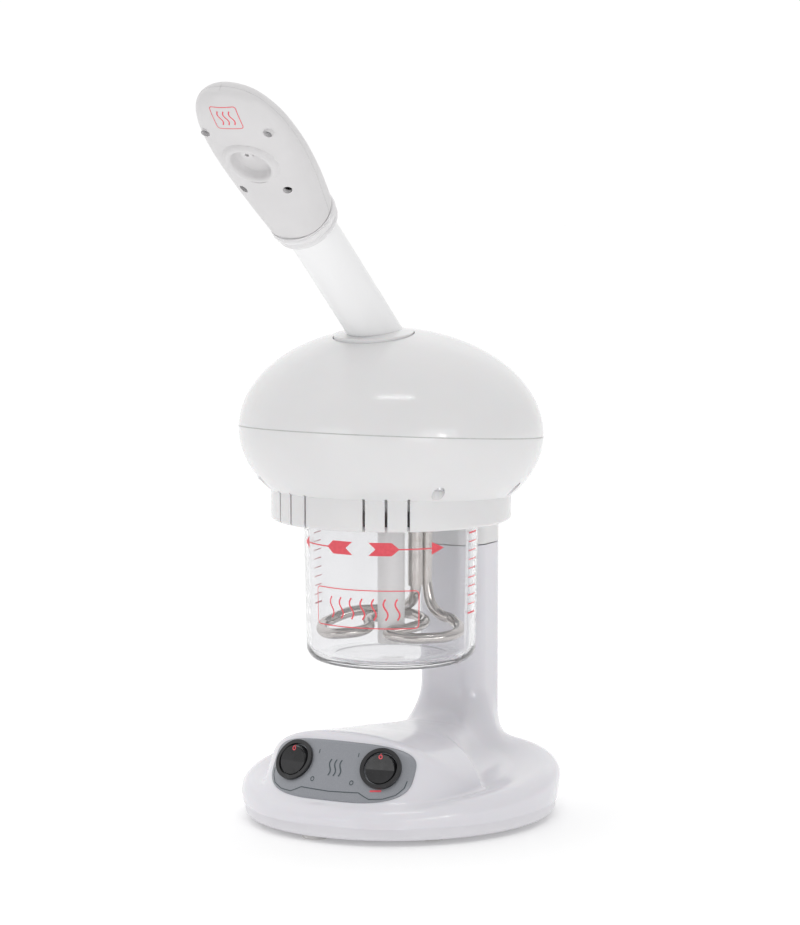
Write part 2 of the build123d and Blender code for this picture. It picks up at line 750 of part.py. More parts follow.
# Two-loop immersion element: down one leg, round both loops, up inside the sleeve
ELEMENT_TOP = CAP_Z + CAP_T + 12
element_route = [
    (*LEG_A, ELEMENT_TOP),
    (*LEG_A, 113.5),
    (37.5, 19.5, 109.5),
    (37.5, -8, 104.5),
    (15, -21, 103.9),
    (3, -14.5, 105),
    (18.5, 0, 108),
    (16.5, 13.5, 110.6),
    (0, 16.5, 112),
    (-15, 8, 110.6),
    (-14.5, -4, 109),
    (-4.5, -12.5, 106.8),
    (-14, -27.5, 105),
    (-32, -28.5, 105.3),
    (-37, -12, 108.6),
    (-20, 10, 113.5),
    (-2.5, 18.2, 115.5),
    (*LEG_B, 121),
    (*LEG_B, ELEMENT_TOP),
]
with BuildPart() as heating_element:
    with BuildLine() as element_line:
        FilletPolyline(*element_route, radius=[min(r, 18) for r in bend_radii(element_route)])
    with BuildSketch(Plane(element_line.line @ 0, z_dir=element_line.line % 0)):
        Circle(ELEMENT_R)
    sweep(path=element_line.line)
save(heating_element, "heating_element")

with BuildPart() as element_sleeve:
    with BuildSketch(Plane.XY.offset(129)):
        with Locations(LEG_B):
            Circle(SLEEVE_R)
            Circle(ELEMENT_R, mode=Mode.SUBTRACT)
    extrude(amount=CAP_Z + CAP_T - 129)
save(element_sleeve, "element_sleeve")

with BuildPart() as element_flange:
    middle = ((LEG_A[0] + LEG_B[0]) / 2, (LEG_A[1] + LEG_B[1]) / 2)
    slant = degrees(atan2(LEG_A[1] - LEG_B[1], LEG_A[0] - LEG_B[0]))
    with BuildSketch(Plane.XY.offset(CAP_Z + CAP_T)):
        with Locations(Location((*middle, 0), (0, 0, slant))):
            SlotOverall(34, 15)
            with GridLocations(25, 0, 2, 1):
                Circle(1.6, mode=Mode.SUBTRACT)
        with Locations(LEG_A, LEG_B):
            Circle(ELEMENT_R, mode=Mode.SUBTRACT)
    extrude(amount=2)
save(element_flange, "element_flange")

with BuildPart() as flange_nuts:
    with BuildSketch(Plane.XY.offset(CAP_Z + CAP_T + 2)):
        with Locations(Location((*middle, 0), (0, 0, slant))):
            with GridLocations(25, 0, 2, 1):
                RegularPolygon(3.2, 6)
    extrude(amount=2.4)
save(flange_nuts, "flange_nuts")

with BuildPart() as level_tube:
    with BuildSketch(Plane.XY.offset(98)):
        Circle(LEVEL_TUBE_R)
        Circle(LEVEL_TUBE_R - 1.3, mode=Mode.SUBTRACT)
    extrude(amount=CAP_Z + 2 - 98)
save(level_tube, "level_tube")

with BuildPart() as thermal_cutoff:
    with BuildSketch(Plane.XY.offset(CAP_Z + CAP_T)):
        with Locations((-26, 22)):
            Circle(8)
    extrude(amount=5)
    with BuildSketch(Plane.XY.offset(CAP_Z + CAP_T + 5)):
        with Locations((-26, 22)):
            with GridLocations(8, 0, 2, 1):
                Rectangle(0.8, 4.8)
    extrude(amount=7)
save(thermal_cutoff, "thermal_cutoff")

# Ozone lamp beside the steam outlet, held by two clips
LAMP_Y = -34.0
LAMP_Z = CAP_Z + CAP_T + 13
LAMP_R = 6.0
with BuildPart() as lamp_holders:
    with BuildSketch(Plane.XY.offset(CAP_Z + CAP_T)):
        with Locations((0, LAMP_Y)):
            with GridLocations(36, 0, 2, 1):
                Rectangle(5, 17)
    extrude(amount=LAMP_Z + 3 - CAP_Z - CAP_T)
    with Locations((0, LAMP_Y, LAMP_Z)):
        Cylinder(LAMP_R, 80, rotation=(0, 90, 0), mode=Mode.SUBTRACT)
save(lamp_holders, "lamp_holders")

with BuildPart() as ozone_lamp:
    with Locations((0, LAMP_Y, LAMP_Z)):
        Cylinder(LAMP_R, 54, rotation=(0, 90, 0))
    fillet(ozone_lamp.edges(), 2.5)
save(ozone_lamp, "ozone_lamp")

# Steam riser: a silicone sleeve from the nipple into the turning spigot
with BuildPart() as steam_riser:
    with BuildSketch(turret_plane(-86.8)):
        Circle(RISER_R)
        Circle(NIPPLE_R, mode=Mode.SUBTRACT)
    extrude(amount=64.8)
save(steam_riser, "steam_riser")

# ---------------------------------------------------------------- turret and arm

with BuildPart() as turret_bush:
    with BuildSketch(turret_plane(-WELL_DEPTH)):
        Circle(BUSH_R)
        Circle(SPIGOT_R + RUNNING, mode=Mode.SUBTRACT)
    extrude(amount=WELL_DEPTH - 7)
    with BuildSketch(turret_plane(-WELL_DEPTH + 2.6)):
        Circle(BUSH_R + 2.5)
        Circle(SPIGOT_R + RUNNING, mode=Mode.SUBTRACT)
    extrude(amount=2)
save(turret_bush, "turret_bush")

turret_section = Plane(
    turret_point,
    x_dir=(1, 0, 0),
    z_dir=(0, -cos(radians(TURRET_LEAN)), -sin(radians(TURRET_LEAN))),
)
CROWN_DROP = 2.4
DISC_UNDER = -5.4


def turret_crown(low):
    """Disc with a gently domed top, down to the given height."""
    with BuildPart() as crown:
        with BuildSketch(turret_section):
            with BuildLine():
                ThreePointArc(
                    (0, 0), (TURRET_R / 2, -CROWN_DROP / 4), (TURRET_R, -CROWN_DROP)
                )
                Polyline((TURRET_R, -CROWN_DROP), (TURRET_R, low), (0, low), (0, 0))
            make_face()
        revolve(axis=Axis(turret_point, turret_axis))
    return crown.part


with BuildPart() as turret:
    add(turret_crown(DISC_UNDER))
    with BuildSketch(turret_plane(-25)):
        Circle(SPIGOT_R)
    extrude(amount=22)
    # Slanted plug that the arm tube fits over
    with BuildSketch(arm_plane(0)):
        Circle(ARM_R - ARM_WALL)
    extrude(amount=22)
    with BuildSketch(turret_plane(-30)):
        Circle(30)
        Circle(SPIGOT_R, mode=Mode.SUBTRACT)
    extrude(amount=30 + DISC_UNDER, mode=Mode.SUBTRACT)
    with BuildSketch(turret_plane(-30)):
        Circle(SPIGOT_BORE)
    extrude(amount=32, mode=Mode.SUBTRACT)
    with BuildSketch(arm_plane(2)):
        Circle(STEAM_PIPE_R)
    extrude(amount=40, mode=Mode.SUBTRACT)
    # Groove for the retaining clip
    with BuildSketch(turret_plane(-23.2)):
        Circle(SPIGOT_R + 1)
        Circle(SPIGOT_R - 1, mode=Mode.SUBTRACT)
    extrude(amount=1.2, mode=Mode.SUBTRACT)
save(turret, "turret")

with BuildPart() as turret_washer:
    with BuildSketch(turret_plane(-6.8)):
        Circle(BUSH_R)
        Circle(SPIGOT_R, mode=Mode.SUBTRACT)
    extrude(amount=1.4)
save(turret_washer, "turret_washer")

with BuildPart() as turret_clip:
    with BuildSketch(turret_plane(-23.2)):
        Circle(SPIGOT_R + 2.4)
        Circle(SPIGOT_R - 1, mode=Mode.SUBTRACT)
        with Locations((0, SPIGOT_R)):
            Rectangle(9, 8, mode=Mode.SUBTRACT)
    extrude(amount=1.2)
save(turret_clip, "turret_clip")

with BuildPart() as arm_tube:
    with BuildSketch(arm_plane(-25)):
        Circle(ARM_R)
        Circle(ARM_R - ARM_WALL, mode=Mode.SUBTRACT)
    extrude(amount=ARM_END + 25)
    add(turret_crown(-40), mode=Mode.SUBTRACT)
    with BuildSketch(turret_plane(-60)):
        Circle(50)
    extrude(amount=60 - CROWN_DROP, mode=Mode.SUBTRACT)
save(arm_tube, "arm_tube")

with BuildPart() as steam_pipe:
    with BuildSketch(arm_plane(2)):
        Circle(STEAM_PIPE_R)
        Circle(STEAM_PIPE_R - 1.4, mode=Mode.SUBTRACT)
    extrude(amount=ARM_END - 4)
    add(turret_crown(-40), mode=Mode.SUBTRACT)
save(steam_pipe, "steam_pipe")

with BuildPart() as arm_ring:
    with BuildSketch(arm_plane(RING_START)):
        Circle(RING_R - 1.2)
        Circle(ARM_R, mode=Mode.SUBTRACT)
    extrude(amount=RING_END - RING_START)
    for along in (RING_START + 0.8, RING_START + 5.6):
        with BuildSketch(arm_plane(along)):
            Circle(RING_R)
            Circle(RING_R - 2, mode=Mode.SUBTRACT)
        extrude(amount=2.6)
save(arm_ring, "arm_ring")

# ---------------------------------------------------------------- nozzle head


def nozzle_form(inset, front):
    """One half of the nozzle head: front faces down and forward, rear the other way."""
    side = -1 if front else 1
    with BuildPart() as form:
        for along, width, front_depth, rear_depth in NOZZLE:
            depth = front_depth if front else rear_depth
            if inset:
                along = min(along, NOZZLE[-1][0] - inset)
            with BuildSketch(arm_plane(along)):
                with BuildLine():
                    w = width - inset
                    h = side * (depth - inset)
                    k = 0.62
                    Bezier((w, 0), (w, h * k), (w * k, h), (0, h))
                    Bezier((0, h), (-w * k, h), (-w, h * k), (-w, 0))
                    Line((-w, 0), (w, 0))
                make_face()
        loft()
    return form.part


def on_face(x, along, depth):
    """Plane parallel to the nozzle's joint plane, local z out of its front."""
    return Plane(
        turret_point + arm_axis * along + Vector(x, 0, 0) + face_axis * depth,
        x_dir=(1, 0, 0),
        z_dir=face_axis,
    )


front_outer = nozzle_form(0, front=True)
rear_outer = nozzle_form(0, front=False)
BOSS_INNER = 3.2

with BuildPart() as nozzle_front_hollow:
    add(nozzle_form(NOZZLE_WALL, front=True))
    for x, along in NOZZLE_SCREWS:
        with BuildSketch(on_face(x, along, 0)):
            Circle(BOSS_INNER)
        extrude(amount=30, mode=Mode.SUBTRACT)
    with BuildSketch(on_face(0, RECESS_AT, 7.2)):
        Circle(RECESS_R + 2)
    extrude(amount=30, mode=Mode.SUBTRACT)

with BuildPart() as nozzle_front_shell:
    add(front_outer)
    add(nozzle_front_hollow.part, mode=Mode.SUBTRACT)
    with BuildSketch(arm_plane(NOZZLE[0][0] - 1)):
        Circle(ARM_R + 2.2)
    extrude(amount=24, mode=Mode.SUBTRACT)
    # Round dish with the jet seat near its upper edge
    with BuildSketch(on_face(0, RECESS_AT, 9.2)):
        Circle(RECESS_R)
    extrude(amount=20, taper=-12, mode=Mode.SUBTRACT)
    with BuildSketch(on_face(0, JET_AT, 0)):
        Circle(3.4)
    extrude(amount=30, mode=Mode.SUBTRACT)
    for x, along in NOZZLE_SCREWS:
        with BuildSketch(on_face(x, along, -1)):
            Circle(1.5)
        extrude(amount=30, mode=Mode.SUBTRACT)
        with BuildSketch(on_face(x, along, 5)):
            Circle(2.4)
        extrude(amount=30, mode=Mode.SUBTRACT)
save(nozzle_front_shell, "nozzle_front_shell")

with BuildPart() as nozzle_rear_hollow:
    add(nozzle_form(NOZZLE_WALL, front=False))
    for x, along in NOZZLE_SCREWS:
        with BuildSketch(on_face(x, along, 0)):
            Circle(BOSS_INNER)
        extrude(amount=-30, mode=Mode.SUBTRACT)

with BuildPart() as nozzle_rear_shell:
    add(rear_outer)
    add(nozzle_rear_hollow.part, mode=Mode.SUBTRACT)
    with BuildSketch(arm_plane(NOZZLE[0][0] - 1)):
        Circle(ARM_R + 2.2)
    extrude(amount=24, mode=Mode.SUBTRACT)
    for x, along in NOZZLE_SCREWS:
        with BuildSketch(on_face(x, along, 1)):
            Circle(1.2)
        extrude(amount=-8, mode=Mode.SUBTRACT)
save(nozzle_rear_shell, "nozzle_rear_shell")

with BuildPart() as nozzle_screws:
    for x, along in NOZZLE_SCREWS:
        with BuildSketch(on_face(x, along, 5)):
            Circle(2.2)
        extrude(amount=1.6)
        with BuildSketch(on_face(x, along, 5)):
            Circle(1.2)
        extrude(amount=-10)
save(nozzle_screws, "nozzle_screws")

with BuildPart() as nozzle_socket:
    with BuildSketch(arm_plane(NOZZLE[0][0] + 0.2)):
        Circle(ARM_R + 2.2)
        Circle(ARM_R + RUNNING, mode=Mode.SUBTRACT)
    extrude(amount=19)
    with BuildSketch(arm_plane(NOZZLE[0][0] + 19.2)):
        Circle(ARM_R + 0.6)
        Circle(STEAM_PIPE_R, mode=Mode.SUBTRACT)
    extrude(amount=2)
save(nozzle_socket, "nozzle_socket")

with BuildPart() as steam_elbow:
    with BuildSketch(arm_plane(NOZZLE[0][0] + 21.4)):
        Circle(7)
    extrude(amount=46)
    with BuildSketch(on_face(0, JET_AT, 0)):
        Circle(3.3)
    extrude(amount=8.9)
    with BuildSketch(arm_plane(NOZZLE[0][0] + 21)):
        Circle(5.6)
    extrude(amount=45, mode=Mode.SUBTRACT)
    with BuildSketch(on_face(0, JET_AT, 0)):
        Circle(2.2)
    extrude(amount=20, mode=Mode.SUBTRACT)
save(steam_elbow, "steam_elbow")

with BuildPart() as nozzle_jet:
    with BuildSketch(on_face(0, JET_AT, 5.4)):
        Circle(2.2)
    extrude(amount=3.6)
    with BuildSketch(on_face(0, JET_AT, 9)):
        Circle(3.2)
    extrude(amount=1.8)
    with BuildSketch(on_face(0, JET_AT, 0)):
        Circle(1.1)
    extrude(amount=20, mode=Mode.SUBTRACT)
save(nozzle_jet, "nozzle_jet")
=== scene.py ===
"""Looks of the table-top facial steamer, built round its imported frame.

Shapes are written in millimetres in the frame's own axes (+Z up, front towards -Y)
and turned into metres where their mesh is made.
"""

import json
import math

import bmesh
import bpy
import numpy as np
import openvdb
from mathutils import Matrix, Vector

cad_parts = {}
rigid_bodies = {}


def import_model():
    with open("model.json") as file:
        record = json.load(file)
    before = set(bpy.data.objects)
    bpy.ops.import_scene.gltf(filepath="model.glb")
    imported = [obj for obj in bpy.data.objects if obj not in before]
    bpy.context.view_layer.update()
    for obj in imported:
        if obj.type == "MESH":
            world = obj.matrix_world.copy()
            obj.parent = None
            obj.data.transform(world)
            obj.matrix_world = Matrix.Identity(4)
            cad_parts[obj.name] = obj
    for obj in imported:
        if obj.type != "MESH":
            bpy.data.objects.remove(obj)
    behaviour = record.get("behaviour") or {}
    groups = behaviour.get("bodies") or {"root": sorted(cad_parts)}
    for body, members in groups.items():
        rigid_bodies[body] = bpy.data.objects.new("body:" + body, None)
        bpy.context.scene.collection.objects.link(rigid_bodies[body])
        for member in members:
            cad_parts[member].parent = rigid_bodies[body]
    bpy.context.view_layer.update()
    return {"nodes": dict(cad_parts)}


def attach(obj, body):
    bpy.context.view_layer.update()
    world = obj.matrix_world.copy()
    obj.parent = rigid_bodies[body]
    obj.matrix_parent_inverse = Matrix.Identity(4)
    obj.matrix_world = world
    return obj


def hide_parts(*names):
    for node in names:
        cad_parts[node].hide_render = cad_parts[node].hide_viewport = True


MM = 0.001

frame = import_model()
nodes = frame["nodes"]


# ---------------------------------------------------------------- materials


class Nodes:
    """A material's node tree with a Principled shader, and short ways to add to it."""

    def __init__(self, name):
        self.material = bpy.data.materials.new(name)
        self.material.use_nodes = True
        self.tree = self.material.node_tree
        self.shader = self.tree.nodes["Principled BSDF"]
        self.coordinates = self.tree.nodes.new("ShaderNodeTexCoord").outputs["Object"]

    def set(self, **sockets):
        """Sets the shader's own sockets, with _ for each space in a name."""
        for name, value in sockets.items():
            self.shader.inputs[name.replace("_", " ")].default_value = value

    def noise(self, size_mm, detail, stretch=(1, 1, 1)):
        """Noise with features about size_mm across."""
        mapping = self.tree.nodes.new("ShaderNodeMapping")
        mapping.inputs["Scale"].default_value = [s / (size_mm * MM) for s in stretch]
        self.tree.links.new(self.coordinates, mapping.inputs["Vector"])
        noise = self.tree.nodes.new("ShaderNodeTexNoise")
        noise.inputs["Scale"].default_value = 1.0
        noise.inputs["Detail"].default_value = detail
        self.tree.links.new(mapping.outputs["Vector"], noise.inputs["Vector"])
        return noise.outputs["Fac"]

    def to_range(self, value, low, high):
        """Stretches noise, which mostly lies between 0.3 and 0.7, over a range."""
        node = self.tree.nodes.new("ShaderNodeMapRange")
        node.inputs["From Min"].default_value = 0.3
        node.inputs["From Max"].default_value = 0.7
        node.inputs["To Min"].default_value = low
        node.inputs["To Max"].default_value = high
        self.tree.links.new(value, node.inputs["Value"])
        return node.outputs["Result"]

    def mix(self, factor, first, second):
        node = self.tree.nodes.new("ShaderNodeMix")
        node.data_type = "RGBA"
        self.tree.links.new(factor, node.inputs["Factor"])
        # The colour sockets share their names with the plain number's, so they go by place
        node.inputs[6].default_value = (*first, 1)
        node.inputs[7].default_value = (*second, 1)
        return node.outputs[2]

    def vary_colour(self, colour, other, size_mm, detail=3.0):
        spread = self.to_range(self.noise(size_mm, detail), 0, 1)
        self.tree.links.new(self.mix(spread, colour, other), self.shader.inputs["Base Color"])

    def vary_roughness(self, low, high, size_mm):
        spread = self.to_range(self.noise(size_mm, 3.0), low, high)
        self.tree.links.new(spread, self.shader.inputs["Roughness"])

    def bump(self, size_mm, depth_mm, strength, detail=2.0, stretch=(1, 1, 1)):
        node = self.tree.nodes.new("ShaderNodeBump")
        node.inputs["Distance"].default_value = depth_mm * MM
        node.inputs["Strength"].default_value = strength
        self.tree.links.new(self.noise(size_mm, detail, stretch), node.inputs["Height"])
        self.tree.links.new(node.outputs["Normal"], self.shader.inputs["Normal"])


def glossy_white():
    """Injection-moulded ABS: gloss, the faintest flow marks and orange peel."""
    m = Nodes("shell_white")
    m.vary_colour((0.735, 0.73, 0.735), (0.715, 0.71, 0.715), 45)
    m.vary_roughness(0.10, 0.19, 22)
    m.bump(6, 0.006, 0.5)
    m.set(Specular_IOR_Level=0.5, IOR=1.5, Subsurface_Weight=0.06, Subsurface_Scale=0.004)
    return m.material


def base_white():
    """The base's moulding: as glossy, a touch cooler."""
    m = Nodes("base_white")
    m.vary_colour((0.745, 0.735, 0.775), (0.72, 0.71, 0.75), 50)
    m.vary_roughness(0.09, 0.17, 25)
    m.bump(7, 0.006, 0.5)
    m.set(Specular_IOR_Level=0.5, IOR=1.5, Subsurface_Weight=0.06, Subsurface_Scale=0.004)
    return m.material


def satin_white(name, colour, dark):
    """Fine spark-eroded texture, as on the nozzle head and the pan."""
    m = Nodes(name)
    m.vary_colour(colour, dark, 18)
    m.vary_roughness(0.34, 0.46, 9)
    m.bump(0.7, 0.02, 0.55, detail=3)
    m.set(Specular_IOR_Level=0.45, IOR=1.5)
    return m.material


def panel_grey():
    """Printed overlay: cool grey, slightly metallic, with a fine grain."""
    m = Nodes("panel_grey")
    m.vary_colour((0.30, 0.31, 0.335), (0.26, 0.27, 0.295), 0.5, detail=4)
    m.vary_roughness(0.30, 0.42, 2.0)
    m.bump(0.4, 0.01, 0.4)
    m.set(Metallic=0.25, IOR=1.5)
    return m.material


def gloss_black(name, roughness):
    """Polished black moulding with a fine grain."""
    m = Nodes(name)
    m.vary_colour((0.012, 0.012, 0.013), (0.02, 0.02, 0.022), 6)
    m.vary_roughness(roughness, roughness + 0.12, 3)
    m.bump(0.9, 0.01, 0.4)
    m.set(IOR=1.5)
    return m.material


def clear_plastic(name, tint, low, high, transmission=1.0, ior=1.46):
    """Clear moulding: smooth, with faint flow waves."""
    m = Nodes(name)
    m.vary_colour(tint, tuple(0.985 * c for c in tint), 30)
    m.vary_roughness(low, high, 14)
    m.bump(12, 0.01, 0.4)
    m.set(Transmission_Weight=transmission, IOR=ior)
    return m.material


def frosted(name, colour, transmission, low, high):
    """Pale moulding with a soft sheen, solid or letting some light through."""
    m = Nodes(name)
    m.vary_colour(colour, tuple(0.975 * c for c in colour), 40)
    m.vary_roughness(low, high, 25)
    m.bump(0.9, 0.01, 0.3)
    m.set(Transmission_Weight=transmission, IOR=1.45)
    return m.material


def element_steel():
    """Polished stainless tube, clouded and tinted brown by heat and scale."""
    m = Nodes("element_steel")
    m.vary_colour((0.60, 0.57, 0.54), (0.50, 0.465, 0.435), 22, detail=2)
    m.vary_roughness(0.05, 0.10, 12)
    m.bump(1.5, 0.002, 0.3)
    m.set(Metallic=1.0)
    return m.material


def bright_metal(name, colour, dark, low, high):
    """Turned or drawn metal, its grain drawn out along Z."""
    m = Nodes(name)
    m.vary_colour(colour, dark, 4)
    m.vary_roughness(low, high, 2)
    m.bump(0.5, 0.008, 0.4, stretch=(1, 1, 0.15))
    m.set(Metallic=1.0)
    return m.material


def dull(name, colour, dark, low=0.5, high=0.7, size=3.0):
    """Rubber, nylon, board or ink, and the painted shade of the head's seam and the jet's bore: mottled, with
    a fine rough skin.
    """
    m = Nodes(name)
    m.vary_colour(colour, dark, size)
    m.vary_roughness(low, high, size)
    m.bump(0.6, 0.02, 0.5)
    return m.material


def print_red():
    """Screen-printed ink, a little uneven."""
    m = Nodes("print_red")
    m.vary_colour((0.82, 0.10, 0.13), (0.74, 0.075, 0.10), 1.5, detail=4)
    m.vary_roughness(0.35, 0.5, 1.0)
    m.bump(0.4, 0.006, 0.5)
    return m.material


shell_white = glossy_white()
base_moulded = base_white()
nozzle_white = satin_white("nozzle_white", (0.66, 0.65, 0.655), (0.64, 0.63, 0.635))
pan_white = satin_white("pan_white", (0.74, 0.73, 0.76), (0.715, 0.705, 0.735))
grey_panel = panel_grey()
switch_black = gloss_black("switch_black", 0.28)
rocker_black = gloss_black("rocker_black", 0.12)
jar_clear = clear_plastic("clear_plastic", (0.915, 0.915, 0.925), 0.0, 0.03, 0.94, 1.26)
ring_clear = frosted("clear_ring", (0.90, 0.89, 0.90), 0.2, 0.12, 0.2)
tube_frosted = frosted("frosted_plastic", (0.86, 0.86, 0.865), 0.0, 0.30, 0.38)
tube_milky = frosted("milky_plastic", (0.985, 0.97, 0.96), 0.2, 0.30, 0.4)
silicone = frosted("silicone", (0.93, 0.93, 0.93), 0.1, 0.35, 0.5)
steel_element = element_steel()
steel_sleeve = bright_metal("sleeve_steel", (0.62, 0.59, 0.56), (0.5, 0.46, 0.43), 0.14, 0.24)
steel_screw = bright_metal("screw_steel", (0.66, 0.66, 0.68), (0.52, 0.52, 0.53), 0.28, 0.4)
brass = bright_metal("brass", (0.80, 0.58, 0.28), (0.66, 0.46, 0.22), 0.28, 0.4)
rubber = dull("rubber", (0.70, 0.69, 0.68), (0.62, 0.61, 0.60))
# Black rubber of the cord gland; the same black lining the jet's bore is painted shade of the hole
black_rubber_and_bore_shade = dull("black_rubber_and_bore_shade", (0.03, 0.03, 0.03), (0.045, 0.045, 0.045))
nylon = dull("nylon", (0.74, 0.73, 0.69), (0.68, 0.67, 0.63), 0.4, 0.55)
board_green = dull("board", (0.03, 0.16, 0.06), (0.025, 0.12, 0.05), 0.35, 0.5)
lamp_glass = clear_plastic("lamp_glass", (0.93, 0.95, 0.99), 0.0, 0.02)
wire_sleeve = dull("wire_insulation", (0.55, 0.55, 0.55), (0.45, 0.45, 0.46))
cutoff_metal = bright_metal("cutoff", (0.72, 0.72, 0.73), (0.6, 0.6, 0.61), 0.3, 0.45)
ink_red = print_red()
# Grey of the ring in the head's seam: painted shade of the gap between the mouldings
seam_painted_shade = dull("seam_shadow", (0.52, 0.52, 0.51), (0.46, 0.46, 0.45), 0.6, 0.8)
ink_dark = dull("print_dark", (0.05, 0.07, 0.08), (0.08, 0.10, 0.11), 0.35, 0.5, 1.0)

NODE_MATERIALS = {
    shell_white: [
        "base_shell", "head_lower_shell", "head_upper_shell", "column_cover", "turret", "boiler_cap",
    ],
    nozzle_white: ["nozzle_front_shell", "nozzle_rear_shell", "nozzle_jet"],
    pan_white: ["base_pan"],
    grey_panel: ["control_panel"],
    switch_black: ["power_switch_body", "ozone_switch_body"],
    rocker_black: ["power_rocker", "ozone_rocker"],
    jar_clear: ["jar"],
    ring_clear: ["arm_ring"],
    tube_frosted: ["arm_tube"],
    tube_milky: ["level_tube"],
    silicone: ["steam_pipe", "steam_riser", "jar_seal", "steam_elbow"],
    steel_element: ["heating_element"],
    steel_sleeve: ["element_sleeve", "element_flange"],
    steel_screw: [
        "base_screws", "cap_screws", "column_cover_screw", "head_screws",
        "nozzle_screws", "flange_nuts", "rocker_pins", "turret_clip",
    ],
    brass: ["switch_terminals"],
    rubber: ["rubber_feet", "turret_washer"],
    black_rubber_and_bore_shade: ["cord_gland"],
    nylon: ["turret_bush", "nozzle_socket", "terminal_block", "lamp_holders"],
    board_green: ["ozone_board"],
    lamp_glass: ["ozone_lamp"],
    wire_sleeve: ["column_wires"],
    cutoff_metal: ["thermal_cutoff"],
}

for material, names in NODE_MATERIALS.items():
    for name in names:
        mesh = nodes[name].data
        mesh.materials.clear()
        mesh.materials.append(material)

# Light reaches what the clear jar holds
nodes["jar"].visible_shadow = False


# ---------------------------------------------------------------- mesh helpers


def mesh_object(name, points_mm, faces, material):
    """A smooth-shaded object from points in millimetres."""
    mesh = bpy.data.meshes.new(name)
    mesh.from_pydata((np.asarray(points_mm, float) * MM).tolist(), [], faces)
    mesh.materials.append(material)
    mesh.shade_smooth()
    piece = bpy.data.objects.new(name, mesh)
    bpy.context.scene.collection.objects.link(piece)
    return piece


def grid_faces(rows, columns, close_columns=False):
    """Quads of a rows x columns grid of points, row by row."""
    faces = []
    for r in range(rows - 1):
        here, ahead = r * columns, (r + 1) * columns
        for c in range(columns if close_columns else columns - 1):
            after = (c + 1) % columns
            faces.append((here + c, here + after, ahead + after, ahead + c))
    return faces


def join(pieces, name):
    """One object from several."""
    for piece in bpy.context.view_layer.objects:
        piece.select_set(False)
    for piece in pieces:
        piece.select_set(True)
    bpy.context.view_layer.objects.active = pieces[0]
    bpy.ops.object.join()
    pieces[0].name = name
    return pieces[0]


def outwards(piece, merge=True):
    """Turns the faces outwards, once doubled points are merged."""
    edit = bmesh.new()
    edit.from_mesh(piece.data)
    if merge:
        bmesh.ops.remove_doubles(edit, verts=edit.verts[:], dist=1e-7)
    bmesh.ops.recalc_face_normals(edit, faces=edit.faces[:])
    edit.to_mesh(piece.data)
    edit.free()


def smooth_but(piece, degrees):
    """Smooth shading, with an edge where faces meet at more than an angle."""
    piece.data.shade_smooth()
    piece.data.set_sharp_from_angle(angle=math.radians(degrees))


def apply_modifiers(piece):
    bpy.context.view_layer.update()
    evaluated = piece.evaluated_get(bpy.context.evaluated_depsgraph_get())
    mesh = bpy.data.meshes.new_from_object(evaluated)
    piece.modifiers.clear()
    piece.data = mesh


# ---------------------------------------------------------------- base surface

BASE_Y = 11.0
BASE_HALF = (86.0, 92.0)
DECK_Z = 26.6  # at the oval's centre
DECK_SLOPE = math.tan(math.radians(4.0))
RIM_FLARE = math.tan(math.radians(7.5))
SEAM_Z = 10.0
RIM_ROUND = 9.0
DECK_DISH = 3.2
DISH_EDGE = (9.0, 30.0)  # the dish deepens between these distances from the side
BASE_WALL = 2.2
COLUMN = (20.0, 17.85, 12.0)  # half width, half depth, corner radius
COLUMN_Y = 82.0
COLUMN_TOP = 145.0
COLUMN_GAP = 0.6  # shadow line under the neck

# The pod from its foot upwards: each size at the foot, and its change over the pod's height
POD_FOOT_Z = 14.0
POD_TALL = 46.0
POD_LIMITS = (-0.3, 1.1)  # how far below and above, in heights, the sides keep leaning
POD_HALF = (62.0, -9.0)
POD_MIDDLE = (-8.0, 3.0)  # where the rounded front passes into the ridge
POD_REACH = (68.8, -24.7)  # from the middle to the front
POD_FULLNESS = 2.8
RIDGE_HALF = (36.0, -20.0)
RIDGE_FALL = (24.6, -9.6)  # the length over which the pod narrows to the ridge
RIDGE_POWER = 1.2
SIDE_SLOPE = 0.857  # makes the leaning sides' field read as a distance
# Crest of the pod and the ridge: places front to back, and their heights
CREST_Y = [-60, -49, -20, 0, 40, 66]
CREST_Z = [57, 56, 52.5, 50, 46.5, 45.5]
ARCH_FOOT_Z = 12
ARCH_HALF = 64
ARCH_FULLNESS = 2.4
ARCH_SLOPE = 0.85
RIDGE_END = 88  # inside the column

# Fillet widths: ahead of a stretch from front to back, their change over it, and its two ends
EDGE_FILLET = (2.2, 7, -32, 12)
DECK_FILLET = (2.5, 8, -30, 40)
COLUMN_FILLET = (18, -9, 75, 100)
END_FILLET = 24

# The box in which the base's field is sampled
FIELD_LOW = np.array([-91.0, -85.0, 6.0])
FIELD_HIGH = np.array([91.0, 110.0, 149.0])
FIELD_STEP = 1.0
FIELD_REACH = 4  # steps either side of the skin


def smoothstep(low, high, value):
    """0 below low, 1 above high, and a smooth rise between them."""
    t = np.clip((value - low) / (high - low), 0, 1)
    return t * t * (3 - 2 * t)


def smooth_max(a, b, k):
    """The larger of two fields, rounded over a width k where they cross."""
    h = np.maximum(k - np.abs(a - b), 0) / k
    return np.maximum(a, b) + h * h * k / 4


def smooth_min(a, b, k):
    """The smaller of two fields, with a fillet of width k."""
    return -smooth_max(-a, -b, k)


def fillet(widths, y):
    """A fillet's width at places front to back."""
    width, change, start, end = widths
    return width + change * smoothstep(start, end, y)


